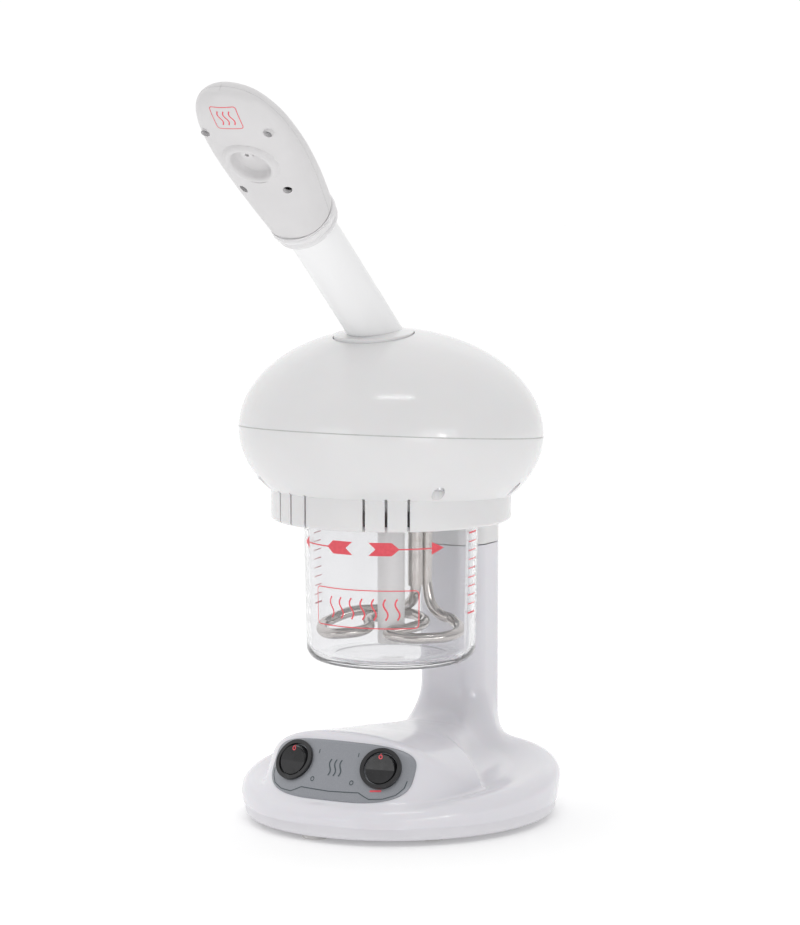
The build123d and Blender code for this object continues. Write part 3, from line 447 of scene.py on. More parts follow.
def deck_field(x, y, z):
    """Oval plate that leans out a little, with a sloping dished top and a rolled shoulder."""
    a, b = BASE_HALF
    k0 = np.hypot(x / a, (y - BASE_Y) / b)
    k1 = np.hypot(x / a**2, (y - BASE_Y) / b**2)
    side = k0 * (k0 - 1) / np.maximum(k1, 1e-6) - RIM_FLARE * (z - SEAM_Z)
    dish = DECK_DISH * smoothstep(*DISH_EDGE, -side)
    qx = side + RIM_ROUND
    qz = z + dish - DECK_SLOPE * (y - BASE_Y) - (DECK_Z - RIM_ROUND)
    outside = np.hypot(np.maximum(qx, 0), np.maximum(qz, 0))
    return outside + np.minimum(np.maximum(qx, qz), 0) - RIM_ROUND


def pod_field(x, y, z):
    """The visor, whose slanted face leans back, and the ridge from it to the column."""
    rise = np.clip((z - POD_FOOT_Z) / POD_TALL, *POD_LIMITS)
    half, middle, reach, ridge_half, fall = (
        size + change * rise for size, change in (POD_HALF, POD_MIDDLE, POD_REACH, RIDGE_HALF, RIDGE_FALL)
    )
    across = np.abs(x)
    ahead = np.maximum(middle - y, 0)
    ratio = ((across / half) ** POD_FULLNESS + (ahead / reach) ** POD_FULLNESS) ** (1 / POD_FULLNESS)
    front = np.hypot(across, ahead) * (1 - 1 / np.maximum(ratio, 1e-3))
    behind = np.maximum(y - middle, 0)
    rear = across - (ridge_half + (half - ridge_half) * np.exp(-((behind / fall) ** RIDGE_POWER)))
    side = np.where(y < middle, front, rear) * SIDE_SLOPE
    crest = np.interp(y, CREST_Y, CREST_Z)
    arch = (1 - np.minimum(across / ARCH_HALF, 1) ** ARCH_FULLNESS) ** (1 / ARCH_FULLNESS)
    top = (z - ARCH_FOOT_Z - (crest - ARCH_FOOT_Z) * arch) * ARCH_SLOPE
    body = smooth_max(side, top, fillet(EDGE_FILLET, y))
    return smooth_max(body, y - RIDGE_END, END_FILLET)


def column_field(x, y):
    """The column, a post with round corners."""
    half_w, half_d, corner = COLUMN
    qx = np.abs(x) - half_w + corner
    qy = np.abs(y - COLUMN_Y) - half_d + corner
    return np.hypot(np.maximum(qx, 0), np.maximum(qy, 0)) + np.minimum(np.maximum(qx, qy), 0) - corner


def base_field(x, y, z):
    """Signed distance, roughly, to the base moulding's skin."""
    body = smooth_min(deck_field(x, y, z), pod_field(x, y, z), fillet(DECK_FILLET, y))
    return smooth_min(body, column_field(x, y), fillet(COLUMN_FILLET, y))


def field_gradient(x, y, z, step=0.05):
    """Slope of the base field by central differences."""
    gx = base_field(x + step, y, z) - base_field(x - step, y, z)
    gy = base_field(x, y + step, z) - base_field(x, y - step, z)
    gz = base_field(x, y, z + step) - base_field(x, y, z - step)
    return np.stack([gx, gy, gz], -1) / (2 * step)


def settle(points, rounds=3, longest=0.15):
    """Moves points onto the base's skin along the field's slope, in short steps."""
    for _ in range(rounds):
        x, y, z = points.T
        value = base_field(x, y, z)
        slope = field_gradient(x, y, z)
        step = slope * (value / np.maximum((slope**2).sum(1), 0.3))[:, None]
        length = np.linalg.norm(step, axis=1)[:, None]
        points = points - step * np.minimum(1, longest / np.maximum(length, 1e-6))
    return points


def in_order(corners, quads):
    """The same quads with their points and themselves sorted, as the mesher's threads mix them."""
    order = np.lexsort(corners.T)
    place = np.empty(len(order), int)
    place[order] = np.arange(len(order))
    quads = place[quads]
    return corners[order], quads[np.lexsort(quads.T)]


def base_moulding():
    """The base's skin, cut at the seam and under the neck, with its edges turned in."""
    counts = np.ceil((FIELD_HIGH - FIELD_LOW) / FIELD_STEP).astype(int) + 1
    x, y, z = (low + FIELD_STEP * np.arange(count) for low, count in zip(FIELD_LOW, counts))
    field = base_field(*np.meshgrid(x, y, z, indexing="ij")).astype(np.float32)
    grid = openvdb.FloatGrid(float(FIELD_REACH))
    grid.copyFromArray(np.clip(field / FIELD_STEP, -FIELD_REACH, FIELD_REACH))
    corners, quads = in_order(*grid.convertToQuads(isovalue=0.0))
    points = settle(corners.astype(float) * FIELD_STEP + FIELD_LOW)
    base = mesh_object("base_moulding", points, quads.tolist(), base_moulded)
    edit = bmesh.new()
    edit.from_mesh(base.data)
    # Height, side to keep, and the middle that the edge turns in to
    ends = ((SEAM_Z, 1, BASE_Y), (COLUMN_TOP - COLUMN_GAP, -1, COLUMN_Y))
    for height, keep, _ in ends:
        bmesh.ops.bisect_plane(
            edit,
            geom=edit.verts[:] + edit.edges[:] + edit.faces[:],
            plane_co=(0, 0, height * MM),
            plane_no=(0, 0, keep),
            clear_inner=True,
        )
    for height, _, middle_y in ends:
        rim = [e for e in edit.edges if e.is_boundary and abs(e.verts[0].co.z - height * MM) < 1e-5]
        turned_in = {}
        for edge in rim:
            for vertex in edge.verts:
                if vertex not in turned_in:
                    inward = Vector((-vertex.co.x, middle_y * MM - vertex.co.y, 0))
                    turned_in[vertex] = edit.verts.new(vertex.co + inward.normalized() * BASE_WALL * MM)
            a, b = edge.verts
            edit.faces.new((a, b, turned_in[b], turned_in[a]))
    bmesh.ops.recalc_face_normals(edit, faces=edit.faces[:])
    edit.to_mesh(base.data)
    edit.free()
    smooth_but(base, 50)
    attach(base, "housing")
    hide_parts("base_shell")


VISOR_SEARCH = (-90.0, -20.0)  # in front of the visor, and behind its face


def on_visor(x, z, lift):
    """Points on the visor's face seen square from the front, lifted off it."""
    near, far = (np.full(x.shape, y) for y in VISOR_SEARCH)
    for _ in range(30):
        y = (near + far) / 2
        inside = base_field(x, y, z) < 0
        far = np.where(inside, y, far)
        near = np.where(inside, near, y)
    normal = field_gradient(x, far, z)
    normal /= np.linalg.norm(normal, axis=-1)[..., None]
    return np.stack([x, far, z], -1) + normal * lift


# ---------------------------------------------------------------- control panel

PANEL_HALF_X = 43.0
PANEL_HALF_Z = 14.6
PANEL_Z = 36.8
PANEL_LIFT = 0.8
PANEL_BEVEL = 0.35
PANEL_FULLNESS = 3.4
PANEL_DROOP = 0.0003  # how fast the ends drop, per millimetre squared
PRINT_LIFT = 0.12


def panel_outline(angle, shrink):
    """Rounded panel outline in front view; its ends drop a little."""
    power = 2 / PANEL_FULLNESS
    c = np.cos(angle)
    s = np.sin(angle)
    x = (PANEL_HALF_X - shrink) * np.sign(c) * np.abs(c) ** power
    z = (PANEL_HALF_Z - shrink) * np.sign(s) * np.abs(s) ** power
    return x, PANEL_Z + z - PANEL_DROOP * x * x


def control_panel():
    """A thin plate on the visor: its edge, its bevel, and its face from there inwards."""
    turns = 160
    angle = 2 * math.pi * np.arange(turns) / turns
    rows = []
    for shrink, lift in ((0.0, -0.4), (0.0, 0.45), (PANEL_BEVEL, PANEL_LIFT)):
        x, z = panel_outline(angle, shrink)
        rows.append(on_visor(x, z, lift))
    for share in np.linspace(0.93, 0.0, 15):
        rows.append(on_visor(x * share, PANEL_Z + (z - PANEL_Z) * share, PANEL_LIFT))
    points = np.concatenate(rows)
    panel = mesh_object("panel_overlay", points, grid_faces(len(rows), turns, True), grey_panel)
    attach(panel, "housing")
    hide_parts("control_panel")


def two_edges(path, width):
    """Both edges of a line of some width along flat points, one after the other."""
    along = np.gradient(path, axis=0)
    along /= np.linalg.norm(along, axis=1)[:, None]
    side = np.stack([-along[:, 1], along[:, 0]], 1) * width / 2
    return np.concatenate([path + side, path - side])


def wave(x, low, tall, swing, count=40):
    """Flat points up a line that swings once to each side."""
    rise = np.linspace(0, 1, count)
    return np.stack([x + swing * np.sin(rise * 2 * math.pi), low + tall * rise], 1)


def visor_strip(path, width, material, name):
    """A printed line on the panel along front-view points."""
    rows = two_edges(path, width)
    points = on_visor(rows[:, 0], rows[:, 1], PANEL_LIFT + PRINT_LIFT)
    return mesh_object(name, points, grid_faces(2, len(path)), material)


def dense(path, step=0.6):
    """Points along straight runs, no further apart than step."""
    path = np.asarray(path, float)
    out = [path[:1]]
    for a, b in zip(path, path[1:]):
        count = max(int(np.ceil(np.linalg.norm(b - a) / step)), 1)
        out.append(a + (b - a) * (np.arange(1, count + 1) / count)[:, None])
    return np.concatenate(out)


def rounded_square(half_x, half_z, corner, centre):
    """Outline of a rectangle with round corners, its first point repeated at the end."""
    out = []
    for k, (sx, sz) in enumerate(((1, 1), (-1, 1), (-1, -1), (1, -1))):
        for step in range(9):
            angle = math.radians(90 * k + 90 * step / 8)
            x = centre[0] + sx * (half_x - corner) + corner * math.cos(angle)
            z = centre[1] + sz * (half_z - corner) + corner * math.sin(angle)
            out.append((x, z))
    return np.array(out + out[:1])


# Right half of the panel's frame line in front view, from its end to the middle
HALF_LINE = [
    (40.5, 33.5), (40.0, 30.0), (37.0, 26.6), (31.0, 24.6),
    (24.0, 24.2), (21.0, 25.4), (17.5, 27.0), (0.0, 26.4),
]
MARK_X = 12.0
ON_MARK_Z = (44.2, 46.2)
OFF_MARK_Z = 31.5
OFF_MARK_R = 1.0
RED_DASH = [(23.5, 28.2), (29.5, 28.5)]


def panel_marks():
    """A frame line under the switches, on and off marks, three rising waves and a red dash."""
    right = np.array(HALF_LINE)
    left = right[::-1] * (-1, 1)
    marks = [visor_strip(dense(np.concatenate([right, left[1:]])), 0.45, ink_dark, "panel_line")]
    for x in (MARK_X, -MARK_X):
        bar = [(x, z) for z in ON_MARK_Z]
        marks.append(visor_strip(dense(bar), 0.5, ink_dark, "on_mark"))
        turns = np.linspace(0, 2 * math.pi, 30)
        ring = np.stack([x + OFF_MARK_R * np.cos(turns), OFF_MARK_Z + OFF_MARK_R * np.sin(turns)], 1)
        marks.append(visor_strip(ring, 0.45, ink_dark, "off_mark"))
    for x in (-3.2, 0.0, 3.2):
        marks.append(visor_strip(wave(x, 34.0, 8.0, 0.8), 0.7, ink_dark, "steam_wave"))
    marks.append(visor_strip(dense(RED_DASH), 0.9, ink_red, "red_dash"))
    piece = join(marks, "panel_print")
    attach(piece, "housing")


SWITCH_AT = (26.5, -59.6, 39.4)
SWITCH_YAW = math.radians(10)
FACE_LEAN = math.radians(31)
# The mark on each rocker, up and across from the switch's centre: a ring, then a bar
ROCKER_RING_V = 5.4
ROCKER_RING_R = (1.15, 0.65)
ROCKER_BAR_V = (6.0, 7.6)
ROCKER_BAR_U = (-0.28, 0.28)
ROCKER_PRINT_LIFT = 0.1


def rocker_marks():
    """A red ring with a bar on each rocker, near its upper edge."""
    for side, name in ((1, "power_rocker"), (-1, "ozone_rocker")):
        yaw = SWITCH_YAW * side
        level = math.cos(FACE_LEAN)
        out = Vector((math.sin(yaw) * level, -math.cos(yaw) * level, math.sin(FACE_LEAN)))
        across = Vector((math.cos(yaw), math.sin(yaw), 0))
        upward = out.cross(across)
        centre = Vector((SWITCH_AT[0] * side, SWITCH_AT[1], SWITCH_AT[2])) * MM
        turns = np.linspace(0, 2 * math.pi, 25)
        ring = [np.stack([r * np.cos(turns), ROCKER_RING_V + r * np.sin(turns)], 1) for r in ROCKER_RING_R]
        bar = [np.stack([np.full(5, u), np.linspace(*ROCKER_BAR_V, 5)], 1) for u in ROCKER_BAR_U]
        marks = []
        for rows in (ring, bar):
            points = []
            for u, v in np.concatenate(rows):
                start = centre + (across * u + upward * v + out * 25) * MM
                _, place, normal, _ = nodes[name].ray_cast(start, -out)
                points.append((place + normal * ROCKER_PRINT_LIFT * MM) / MM)
            marks.append(mesh_object("mark", points, grid_faces(2, len(rows[0])), ink_red))
        piece = join(marks, name + "_print")
        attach(piece, name)


# ---------------------------------------------------------------- head

HEAD_Z = 215.0
HEAD_R = 83.5
HEAD_TILT = math.radians(4.6)
SEAM_PROUD = 0.05
SEAM_DEEP = 0.9
SEAM_HALF = 0.28


def head_seam():
    """The shadow line between the head's two mouldings: a thin grey ring let into both, its grey painted
    shade of the gap.
    """
    angle = 2 * math.pi * np.arange(180) / 180
    right = np.array([1.0, 0.0, 0.0])
    back = np.array([0.0, math.cos(HEAD_TILT), -math.sin(HEAD_TILT)])
    axis = np.array([0.0, math.sin(HEAD_TILT), math.cos(HEAD_TILT)])
    outer = HEAD_R + SEAM_PROUD
    inner = HEAD_R - SEAM_DEEP
    rows = []
    for radius, rise in ((outer, SEAM_HALF), (outer, -SEAM_HALF), (inner, -SEAM_HALF), (inner, SEAM_HALF)):
        ring = radius * np.cos(angle)[:, None] * right + radius * np.sin(angle)[:, None] * back
        rows.append(ring + rise * axis + (0, 0, HEAD_Z))
    points = np.concatenate(rows + rows[:1])
    seam = mesh_object("head_seam", points, grid_faces(5, 180, True), seam_painted_shade)
    outwards(seam)
    smooth_but(seam, 40)
    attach(seam, "housing")


# ---------------------------------------------------------------- arm and nozzle

# The arm's foot on the turret, then the ways along the arm, out of the nozzle's face and across
TURRET = np.array([0.0, -20.0, 272.6])
ARM_LEAN = math.radians(50)
ALONG = np.array([0.0, -math.sin(ARM_LEAN), math.cos(ARM_LEAN)])
FACE = np.array([0.0, -math.cos(ARM_LEAN), -math.sin(ARM_LEAN)])
ACROSS = np.array([1.0, 0.0, 0.0])

# Sections: distance along the arm, half width, front depth, rear depth
NOZZLE = np.array([
    (103.0, 17.6, 17.0, 17.2),
    (118.0, 20.6, 16.4, 17.4),
    (137.0, 24.2, 14.6, 15.8),
    (162.0, 26.3, 12.4, 13.0),
    (184.0, 23.8, 10.4, 10.4),
    (198.0, 17.2, 8.0, 7.4),
    (204.6, 7.6, 5.0, 3.9),
    (205.8, 0.0, 2.6, 1.2),
])
NOZZLE_FULLNESS = 0.62
NOZZLE_WALL = 2.2
NOZZLE_PART = 0.07  # each half stands this far from the parting plane
NOZZLE_ROWS = 70
NOZZLE_AROUND = 49
DISH_AT = 158.0
DISH_CUT_R = 13.0
DISH_WALL = 1.2
# Raised boss and the dish inside it: radius, depth in front of the arm's axis
DISH = [
    (16.4, 9.0), (15.2, 11.6), (14.2, 12.9), (13.2, 13.5), (12.3, 13.6), (11.5, 13.3), (10.9, 12.4),
    (10.5, 10.8), (10.2, 8.9), (9.6, 8.2), (8.6, 8.0), (0.05, 8.0),
]
JET_AT = 163.2
JET_R = 2.4
JET_BORE = [(JET_R, 8.0), (JET_R - 0.15, 7.0), (JET_R - 0.5, 3.0), (0.05, 3.0)]
SCREW_SPOTS = [(18.3, 179), (-18.3, 179), (13, 138.3), (-13, 138.3)]
WELL_R = 2.4
WELL = [(2.9, 4.6), (2.9, 5.0), (2.35, 5.0), (WELL_R, 9.0)]
CUT_TO = 30  # cutters end this far out, past the nozzle's face


def on_arm(x, along, depth):
    """Points from places across the arm's axis, along it and in front of it."""
    x, along, depth = (part[..., None] for part in np.broadcast_arrays(x, along, depth))
    return TURRET + x * ACROSS + along * ALONG + depth * FACE


def smooth_rows(rows, count):
    """Rows of numbers joined by a smooth curve and sampled evenly in distance."""
    steps = np.concatenate([[0], np.cumsum(np.linalg.norm(np.diff(rows[:, :2], axis=0), axis=1) ** 0.6)])
    padded = np.concatenate([[2 * rows[0] - rows[1]], rows, [2 * rows[-1] - rows[-2]]])
    knots = np.concatenate([[2 * steps[0] - steps[1]], steps, [2 * steps[-1] - steps[-2]]])
    out = []
    for t in np.linspace(steps[0], steps[-1], count):
        k = int(np.clip(np.searchsorted(steps, t, side="right") - 1, 0, len(steps) - 2)) + 1
        a, b, c, d = padded[k - 1:k + 3]
        ta, tb, tc, td = knots[k - 1:k + 3]
        u = (t - tb) / (tc - tb)
        slope_b = ((c - b) / (tc - tb) * (tb - ta) + (b - a) / (tb - ta) * (tc - tb)) / (tc - ta) * (tc - tb)
        slope_c = ((d - c) / (td - tc) * (tc - tb) + (c - b) / (tc - tb) * (td - tc)) / (td - tb) * (tc - tb)
        out.append((2 * u**3 - 3 * u**2 + 1) * b + (u**3 - 2 * u**2 + u) * slope_b
                   + (3 * u**2 - 2 * u**3) * c + (u**3 - u**2) * slope_c)
    return np.array(out)


def nozzle_half(front, inset):
    """Grid of points over one half's skin, from one edge over its back to the other."""
    turn = np.linspace(0, 1, NOZZLE_AROUND)
    depth_column = 2 if front else 3
    side = 1 if front else -1
    k = NOZZLE_FULLNESS
    points = []
    for row in smooth_rows(NOZZLE, NOZZLE_ROWS):
        along = min(row[0], NOZZLE[-1][0] - inset)
        w = max(row[1] - inset, 0.05)
        h = max(row[depth_column] - inset, 0.4)
        first = turn <= 0.5
        u = np.where(first, turn * 2, 2 - turn * 2)
        x = (1 - u) ** 3 * w + 3 * (1 - u) ** 2 * u * w + 3 * (1 - u) * u**2 * w * k
        y = 3 * (1 - u) ** 2 * u * h * k + 3 * (1 - u) * u**2 * h + u**3 * h
        points.append(on_arm(np.where(first, x, -x), along, side * (y + NOZZLE_PART)))
    return np.concatenate(points)


def nozzle_shell(front):
    """One half of the nozzle head as a hollow moulding."""
    outer = nozzle_half(front, 0.0)
    inner = nozzle_half(front, NOZZLE_WALL)
    skin = grid_faces(NOZZLE_ROWS, NOZZLE_AROUND)
    total = len(outer)
    faces = skin + [tuple(total + i for i in reversed(face)) for face in skin]
    # Rims that join the two skins along both sides, then across both ends
    for r in range(NOZZLE_ROWS - 1):
        for c in (0, NOZZLE_AROUND - 1):
            a = r * NOZZLE_AROUND + c
            b = a + NOZZLE_AROUND
            quad = (a, b, total + b, total + a)
            faces.append(quad if c == 0 else tuple(reversed(quad)))
    for c in range(NOZZLE_AROUND - 1):
        faces.append((c, total + c, total + c + 1, c + 1))
        last = (NOZZLE_ROWS - 1) * NOZZLE_AROUND + c
        faces.append((last, last + 1, total + last + 1, total + last))
    name = "nozzle_front_moulding" if front else "nozzle_rear_moulding"
    shell = mesh_object(name, np.concatenate([outer, inner]), faces, nozzle_white)
    outwards(shell, merge=False)
    return shell


def turned(name, profile, at, material, turns):
    """A dish or tube turned about a line square to the nozzle's face: (radius, depth) points."""
    angle = 2 * math.pi * np.arange(turns) / turns
    rows = [
        on_arm(at[0] + r * np.cos(angle), at[1] + r * np.sin(angle), np.full(turns, float(depth)))
        for r, depth in profile
    ]
    piece = mesh_object(name, np.concatenate(rows), grid_faces(len(rows), turns, True), material)
    outwards(piece)
    smooth_but(piece, 60)
    return piece


def cut(piece, plugs):
    """Takes the plugs out of the piece."""
    for plug in plugs:
        boolean = piece.modifiers.new("cut", "BOOLEAN")
        boolean.operation = "DIFFERENCE"
        boolean.solver = "EXACT"
        boolean.object = plug
    apply_modifiers(piece)
    for plug in plugs:
        bpy.data.objects.remove(plug)
    smooth_but(piece, 38)


def cutter(radius, depth, at):
    """A round plug square to the nozzle's face, from a depth outwards."""
    profile = [(0.01, depth), (radius, depth), (radius, CUT_TO), (0.01, CUT_TO)]
    return turned("cutter", profile, at, nozzle_white, 64)


def thicken(piece, wall):
    """Gives a skin its wall, on the inner side."""
    solid = piece.modifiers.new("wall", "SOLIDIFY")
    solid.thickness = wall * MM
    solid.offset = -1
    apply_modifiers(piece)


def face_depth(x, along):
    """Depth of the nozzle's front skin at places across and along it."""
    u = np.linspace(0, 1, 200)
    k = NOZZLE_FULLNESS
    wide = ((1 - u) ** 3 + 3 * (1 - u) ** 2 * u + 3 * (1 - u) * u**2 * k)[::-1]
    deep = (3 * (1 - u) ** 2 * u * k + 3 * (1 - u) * u**2 + u**3)[::-1]
    rows = smooth_rows(NOZZLE, 200)
    half = np.interp(along, rows[:, 0], rows[:, 1])
    return np.interp(along, rows[:, 0], rows[:, 2]) * np.interp(np.abs(x) / half, wide, deep)


def nozzle_strip(path, width):
    """A printed line on the nozzle's front along (across, along) points."""
    rows = two_edges(path, width)
    depth = face_depth(rows[:, 0], rows[:, 1]) + PRINT_LIFT
    points = on_arm(rows[:, 0], rows[:, 1], depth)
    return mesh_object("strip", points, grid_faces(2, len(path)), ink_red)


ARM_R = 13.6
ARM_BORE_R = 12.0
TURRET_LEAN = math.radians(5)
CROWN_DROP = 2.4  # the turret's crown stands this far over the edge of its disc
ARM_END = 120.0
ARM_ROWS = 40
# Clear ring under the nozzle head: radius, distance along the arm
RING = [
    (13.62, 93.0), (15.6, 93.0), (16.9, 93.25), (17.5, 93.9), (17.6, 94.8), (17.3, 95.6),
    (16.9, 96.1), (16.9, 96.6), (17.5, 97.1), (18.1, 97.9), (18.45, 99.0), (18.45, 100.1),
    (18.1, 100.9), (17.6, 101.3), (17.6, 101.7), (18.0, 102.1), (18.0, 102.5), (13.62, 102.5),
]


def on_crown(share, depth):
    """Distance along the arm, from the turret's slanting disc to the tube's end."""
    tilt = ARM_LEAN - TURRET_LEAN
    foot = (depth * math.sin(tilt) - CROWN_DROP) / math.cos(tilt)
    return foot + share * (ARM_END - foot)


def square(along, depth):
    """Distance along the arm, the same all round."""
    return np.full(depth.shape, float(along))


def round_the_arm(name, profile, material, place=square):
    """A closed ring or tube turned about the arm's axis: (radius, place) points."""
    turns = 128
    angle = 2 * math.pi * np.arange(turns) / turns
    rows = []
    for r, along in profile + profile[:1]:
        depth = r * np.sin(angle)
        rows.append(on_arm(r * np.cos(angle), place(along, depth), depth))
    piece = mesh_object(name, np.concatenate(rows), grid_faces(len(rows), turns, True), material)
    outwards(piece)
    smooth_but(piece, 50)
    return piece


def arm():
    """The frosted tube and the clear ring that carries the nozzle head."""
    profile = [(ARM_R, share) for share in np.linspace(0, 0.996, ARM_ROWS)] + [(ARM_R - 0.5, 1.0)]
    profile += [(ARM_BORE_R, share) for share in np.linspace(1, 0, ARM_ROWS)]
    tube = round_the_arm("arm_tube_moulding", profile, tube_frosted, on_crown)
    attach(tube, "arm")
    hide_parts("arm_tube")
    ring = round_the_arm("arm_ring_moulding", RING, ring_clear)
    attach(ring, "arm")
    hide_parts("arm_ring")


def nozzle_label():
    """A red frame near the tip with three rising waves in it."""
    marks = [nozzle_strip(dense(rounded_square(7.6, 6.9, 1.5, (0, 191.8))), 0.45)]
    for x in (-3.4, 0.0, 3.4):
        marks.append(nozzle_strip(wave(x, 187.4, 8.8, 0.9), 0.7))
    label = join(marks, "nozzle_print")
    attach(label, "nozzle")


def nozzle():
    """The head's two halves, with the dish, the jet's bore and the wells of the screws."""
    front = nozzle_shell(True)
    plugs = [cutter(DISH_CUT_R, 6.0, (0, DISH_AT))]
    plugs += [cutter(WELL_R, 4.0, spot) for spot in SCREW_SPOTS]
    cut(front, plugs)
    dish = turned("dish", DISH, (0, DISH_AT), nozzle_white, 96)
    thicken(dish, DISH_WALL)
    cut(dish, [cutter(JET_R, 2.0, (0, JET_AT))])
    # Black cup lining the jet's hole: painted shade of the hole
    jet = turned("jet_bore", JET_BORE, (0, JET_AT), black_rubber_and_bore_shade, 40)
    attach(jet, "nozzle")
    wells = [turned("well", WELL, spot, nozzle_white, 32) for spot in SCREW_SPOTS]
    front = join([front, dish, *wells], "nozzle_front_moulding")
    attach(front, "nozzle")
    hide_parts("nozzle_front_shell")
    rear = nozzle_shell(False)
    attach(rear, "nozzle")
    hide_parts("nozzle_rear_shell")


# ---------------------------------------------------------------- heating element

# Middle of the tube, from the free leg round both loops to the sleeved leg
ELEMENT_ROUTE = [
    (13.3, 17.5, 196), (13.3, 17.5, 150), (13.5, 17.5, 127), (16.2, 17.8, 117.4), (21.2, 18.4, 112.4),
    (28, 18.6, 110.3), (35.8, 11.5, 106.3), (36.2, -0.5, 104.4), (27.4, -10.2, 103.7), (14.4, -16.1, 104.1),
    (5.8, -13.9, 105.4), (12.9, -3.2, 107.2), (17.2, 6, 109.3), (10.1, 13.5, 111.3), (2.9, 15.2, 112.2),
    (-4.4, 12.4, 112.1), (-11.6, 7.3, 110.6), (-12.6, -2.3, 110.1), (-8.4, -11.4, 107), (-16.7, -25, 105.2),
    (-27.3, -25.1, 105), (-33.4, -18.1, 107.4), (-33, -8.8, 109.5), (-25.1, 2.3, 113.1), (-15.5, 10.9, 113.7),
    (-6.4, 15.9, 114.8), (2.0, 14.8, 117.2), (7.6, 12.2, 122.2), (9.4, 10.8, 131), (9.4, 10.8, 196),
]
ELEMENT_R = 3.0


def heating_element():
    """A round tube along a smooth curve through the route's places."""
    curve = bpy.data.curves.new("heating_tube", "CURVE")
    curve.dimensions = "3D"
    spline = curve.splines.new("BEZIER")
    spline.bezier_points.add(len(ELEMENT_ROUTE) - 1)
    for point, place in zip(spline.bezier_points, ELEMENT_ROUTE):
        point.co = [c * MM for c in place]
        point.handle_left_type = "AUTO"
        point.handle_right_type = "AUTO"
    curve.resolution_u = 10
    curve.bevel_depth = ELEMENT_R * MM
    curve.bevel_resolution = 8
    curve.use_fill_caps = True
    curve.materials.append(steel_element)
    tube = bpy.data.objects.new("heating_tube", curve)
    bpy.context.scene.collection.objects.link(tube)
    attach(tube, "housing")
    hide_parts("heating_element")


# ---------------------------------------------------------------- prints on the jar

JAR_FOOT_R = 46.6
JAR_TOP_R = 48.1
JAR_FLAT = (97.0, 171.8)
JAR_DEGREE = math.radians(1) * JAR_TOP_R  # millimetres round the jar in a degree
PRINT_GAP = 0.06

# Degrees from the front of each arrow's tail, notch, shoulder, neck, head and tip
ARROWS = [(2.7, -2.3, -12.3, -16.8, -39.8, -46.9), (13.8, 18.4, 28.9, 33.7, 55.9, 65.1)]
ARROW_Z = 155.9
ARROW_HALF = 3.6
ARROW_SHAFT_HALF = 0.35
ARROW_SCALE = (0.83, 1)  # degrees to millimetres, near enough to space points by
FRAME_SIZE = (31.8, 10.3, 2.4)  # half width, half height, corner
FRAME_AT = (9.3, 123.0)
# Marks of the scale each side: heights, and degrees from the front
SCALE_Z = 117.4
SCALE_STEP = 4.92
SCALE_MARKS = 10
SCALE_SPANS = [(91, 104), (-79, -92)]


def on_jar(angle, z):
    """Points just off the jar's side at degrees from the front and a height."""
    angle = np.radians(angle)
    share = (z - JAR_FLAT[0]) / (JAR_FLAT[1] - JAR_FLAT[0])
    radius = JAR_FOOT_R + (JAR_TOP_R - JAR_FOOT_R) * share + PRINT_GAP
    return np.stack([radius * np.sin(angle), -radius * np.cos(angle), z], -1)


def jar_strip(path, width):
    """A printed line on the jar along (degrees, height) points."""
    rows = two_edges(path * (JAR_DEGREE, 1), width) / (JAR_DEGREE, 1)
    return mesh_object("strip", on_jar(rows[:, 0], rows[:, 1]), grid_faces(2, len(path)), ink_red)


def jar_patch(low, high):
    """A printed area between two lines of (degrees, height) points of the same count."""
    points = np.concatenate([low + (high - low) * share for share in np.linspace(0, 1, 5)])
    return mesh_object("patch", on_jar(points[:, 0], points[:, 1]), grid_faces(5, len(low)), ink_red)


def resampled(line, count):
    """So many points along a line, in even steps of its own points."""
    steps = np.linspace(0, 1, len(line))
    return np.stack([np.interp(np.linspace(0, 1, count), steps, line[:, k]) for k in (0, 1)], 1)


def arrow(tail, notch, shoulder, neck, head, tip):
    """A feathered arrow round the jar; places in degrees from the front."""
    z = ARROW_Z
    lines = []
    for start, half, shaft_half in (
        (tail, ARROW_HALF, ARROW_SHAFT_HALF),
        (notch, 0, 0),
        (tail, -ARROW_HALF, -ARROW_SHAFT_HALF),
    ):
        line = np.array([(start, z + half), (shoulder, z + half), (neck, z + shaft_half)])
        lines.append(resampled(dense(line * ARROW_SCALE) / ARROW_SCALE, 40))
    upper, middle, lower = lines
    shaft = np.stack([np.linspace(neck, head, 30), np.full(30, z)], 1)
    across = np.linspace(head, tip, 12)
    reach = ARROW_HALF * 0.95 * (1 - np.linspace(0, 1, 12))
    return [
        jar_patch(middle, upper),
        jar_patch(lower, middle),
        jar_strip(shaft, 0.7),
        jar_patch(np.stack([across, z - reach], 1), np.stack([across, z + reach], 1)),
    ]


def jar_prints():
    """Turning arrows, a framed panel of rising waves, and a scale each side."""
    pieces = []
    for places in ARROWS:
        pieces += arrow(*places)
    per_mm = 1 / JAR_DEGREE
    outline = rounded_square(*FRAME_SIZE, (0, 0)) * (per_mm, 1) + FRAME_AT
    pieces.append(jar_strip(dense(outline * (1 / per_mm, 1)) / (1 / per_mm, 1), 0.55))
    for k in range(7):
        pieces.append(jar_strip(wave(-14 + 7.8 * k, 117.2, 11.6, 1.5, 48), 0.9))
    for k in range(SCALE_MARKS):
        width = 1.0 if k in (0, SCALE_MARKS - 1) else 0.6
        for start, end in SCALE_SPANS:
            mark = np.stack([np.linspace(start, end, 12), np.full(12, SCALE_Z + SCALE_STEP * k)], 1)
            pieces.append(jar_strip(mark, width))
    print_piece = join(pieces, "jar_print")
    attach(print_piece, "jar")


# ---------------------------------------------------------------- camera, light, floor

LENS = 144
SENSOR = 36
CAMERA_FROM = (28.5, 6.5, 2.03)  # azimuth, elevation, metres away
CAMERA_AT = Vector((0.0043, 0.0023, 0.1976))
LAMPS_AT = Vector((0, 0, 0.18))
FLOOR_REACH = 6.0


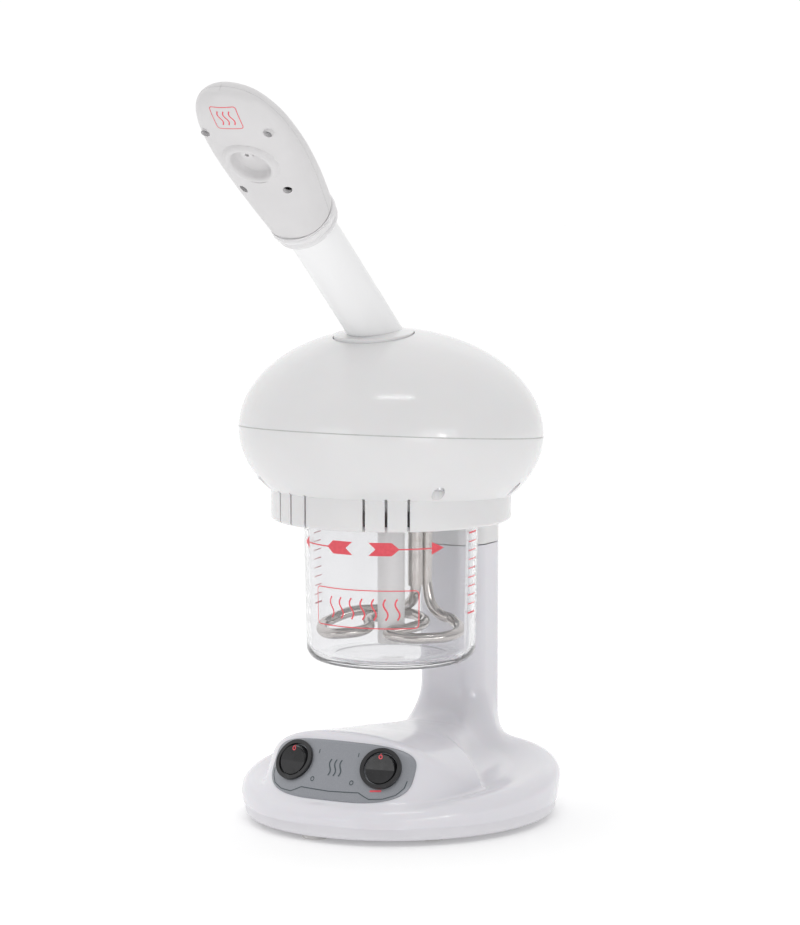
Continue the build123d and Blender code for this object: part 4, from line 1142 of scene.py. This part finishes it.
def look_from(azimuth, elevation, distance, target):
    """Position and rotation that look at a point from so far away."""
    azimuth = math.radians(azimuth)
    elevation = math.radians(elevation)
    out = Vector((
        math.sin(azimuth) * math.cos(elevation),
        -math.cos(azimuth) * math.cos(elevation),
        math.sin(elevation),
    ))
    return target + out * distance, out.to_track_quat("Z", "Y").to_euler()


def camera():
    data = bpy.data.cameras.new("camera")
    data.lens = LENS
    data.sensor_width = SENSOR
    data.clip_end = 30
    eye = bpy.data.objects.new("camera", data)
    eye.location, eye.rotation_euler = look_from(*CAMERA_FROM, CAMERA_AT)
    bpy.context.scene.collection.objects.link(eye)
    bpy.context.scene.camera = eye


def area_light(name, azimuth, elevation, distance, size, power):
    """A rectangular soft box turned towards the object."""
    data = bpy.data.lights.new(name, "AREA")
    data.shape = "RECTANGLE"
    data.size, data.size_y = size
    data.energy = power
    lamp = bpy.data.objects.new(name, data)
    lamp.location, lamp.rotation_euler = look_from(azimuth, elevation, distance, LAMPS_AT)
    bpy.context.scene.collection.objects.link(lamp)


def studio():
    """White cove: a pale floor, a world that is brightest behind, and soft boxes."""
    floor_mesh = bpy.data.meshes.new("floor")
    corners = [(x * FLOOR_REACH, y * FLOOR_REACH, 0) for x, y in ((-1, -1), (1, -1), (1, 1), (-1, 1))]
    floor_mesh.from_pydata(corners, [], [(0, 1, 2, 3)])
    floor = bpy.data.objects.new("floor", floor_mesh)
    m = Nodes("floor")
    m.vary_colour((0.93, 0.93, 0.93), (0.92, 0.92, 0.92), 300)
    m.set(Roughness=0.9, Specular_IOR_Level=0.1, Emission_Color=(1, 1, 1, 1), Emission_Strength=0.15)
    floor_mesh.materials.append(m.material)
    bpy.context.scene.collection.objects.link(floor)

    world = bpy.data.worlds.new("studio")
    world.use_nodes = True
    bpy.context.scene.world = world
    tree = world.node_tree
    background = tree.nodes["Background"]
    direction = tree.nodes.new("ShaderNodeTexCoord").outputs["Generated"]
    strengths = []
    # Where it brightens towards, how nearly a ray points there at both ends, and both strengths
    for towards, start, end, low, high in (
        ((-0.76, 0.65, 0.0), -0.6, 0.75, 0.34, 1.02),
        ((0, 0, 1), 0.2, 1.0, 0.0, 0.50),
    ):
        turn = tree.nodes.new("ShaderNodeVectorMath")
        turn.operation = "DOT_PRODUCT"
        turn.inputs[1].default_value = towards
        tree.links.new(direction, turn.inputs[0])
        spread = tree.nodes.new("ShaderNodeMapRange")
        spread.inputs["From Min"].default_value = start
        spread.inputs["From Max"].default_value = end
        spread.inputs["To Min"].default_value = low
        spread.inputs["To Max"].default_value = high
        tree.links.new(turn.outputs["Value"], spread.inputs["Value"])
        strengths.append(spread.outputs["Result"])
    total = tree.nodes.new("ShaderNodeMath")
    tree.links.new(strengths[0], total.inputs[0])
    tree.links.new(strengths[1], total.inputs[1])
    tree.links.new(total.outputs["Value"], background.inputs["Strength"])
    background.inputs["Color"].default_value = (1, 1, 1, 1)

    area_light("box_left", -14, 4, 1.6, (0.75, 0.42), 1.5)
    area_light("box_right", 64, 6, 1.6, (0.80, 0.42), 1.9)
    area_light("box_low", 48, 1, 1.25, (0.50, 0.24), 0.7)
    area_light("core_right", 66, 5, 1.59, (0.12, 0.12), 0.5)
    area_light("strip_top", 36, 60, 1.3, (0.5, 0.06), 1.2)


camera()
studio()
bpy.context.scene.view_settings.view_transform = "Standard"

base_moulding()
control_panel()
panel_marks()
rocker_marks()
head_seam()
arm()
nozzle()
nozzle_label()
heating_element()
jar_prints()
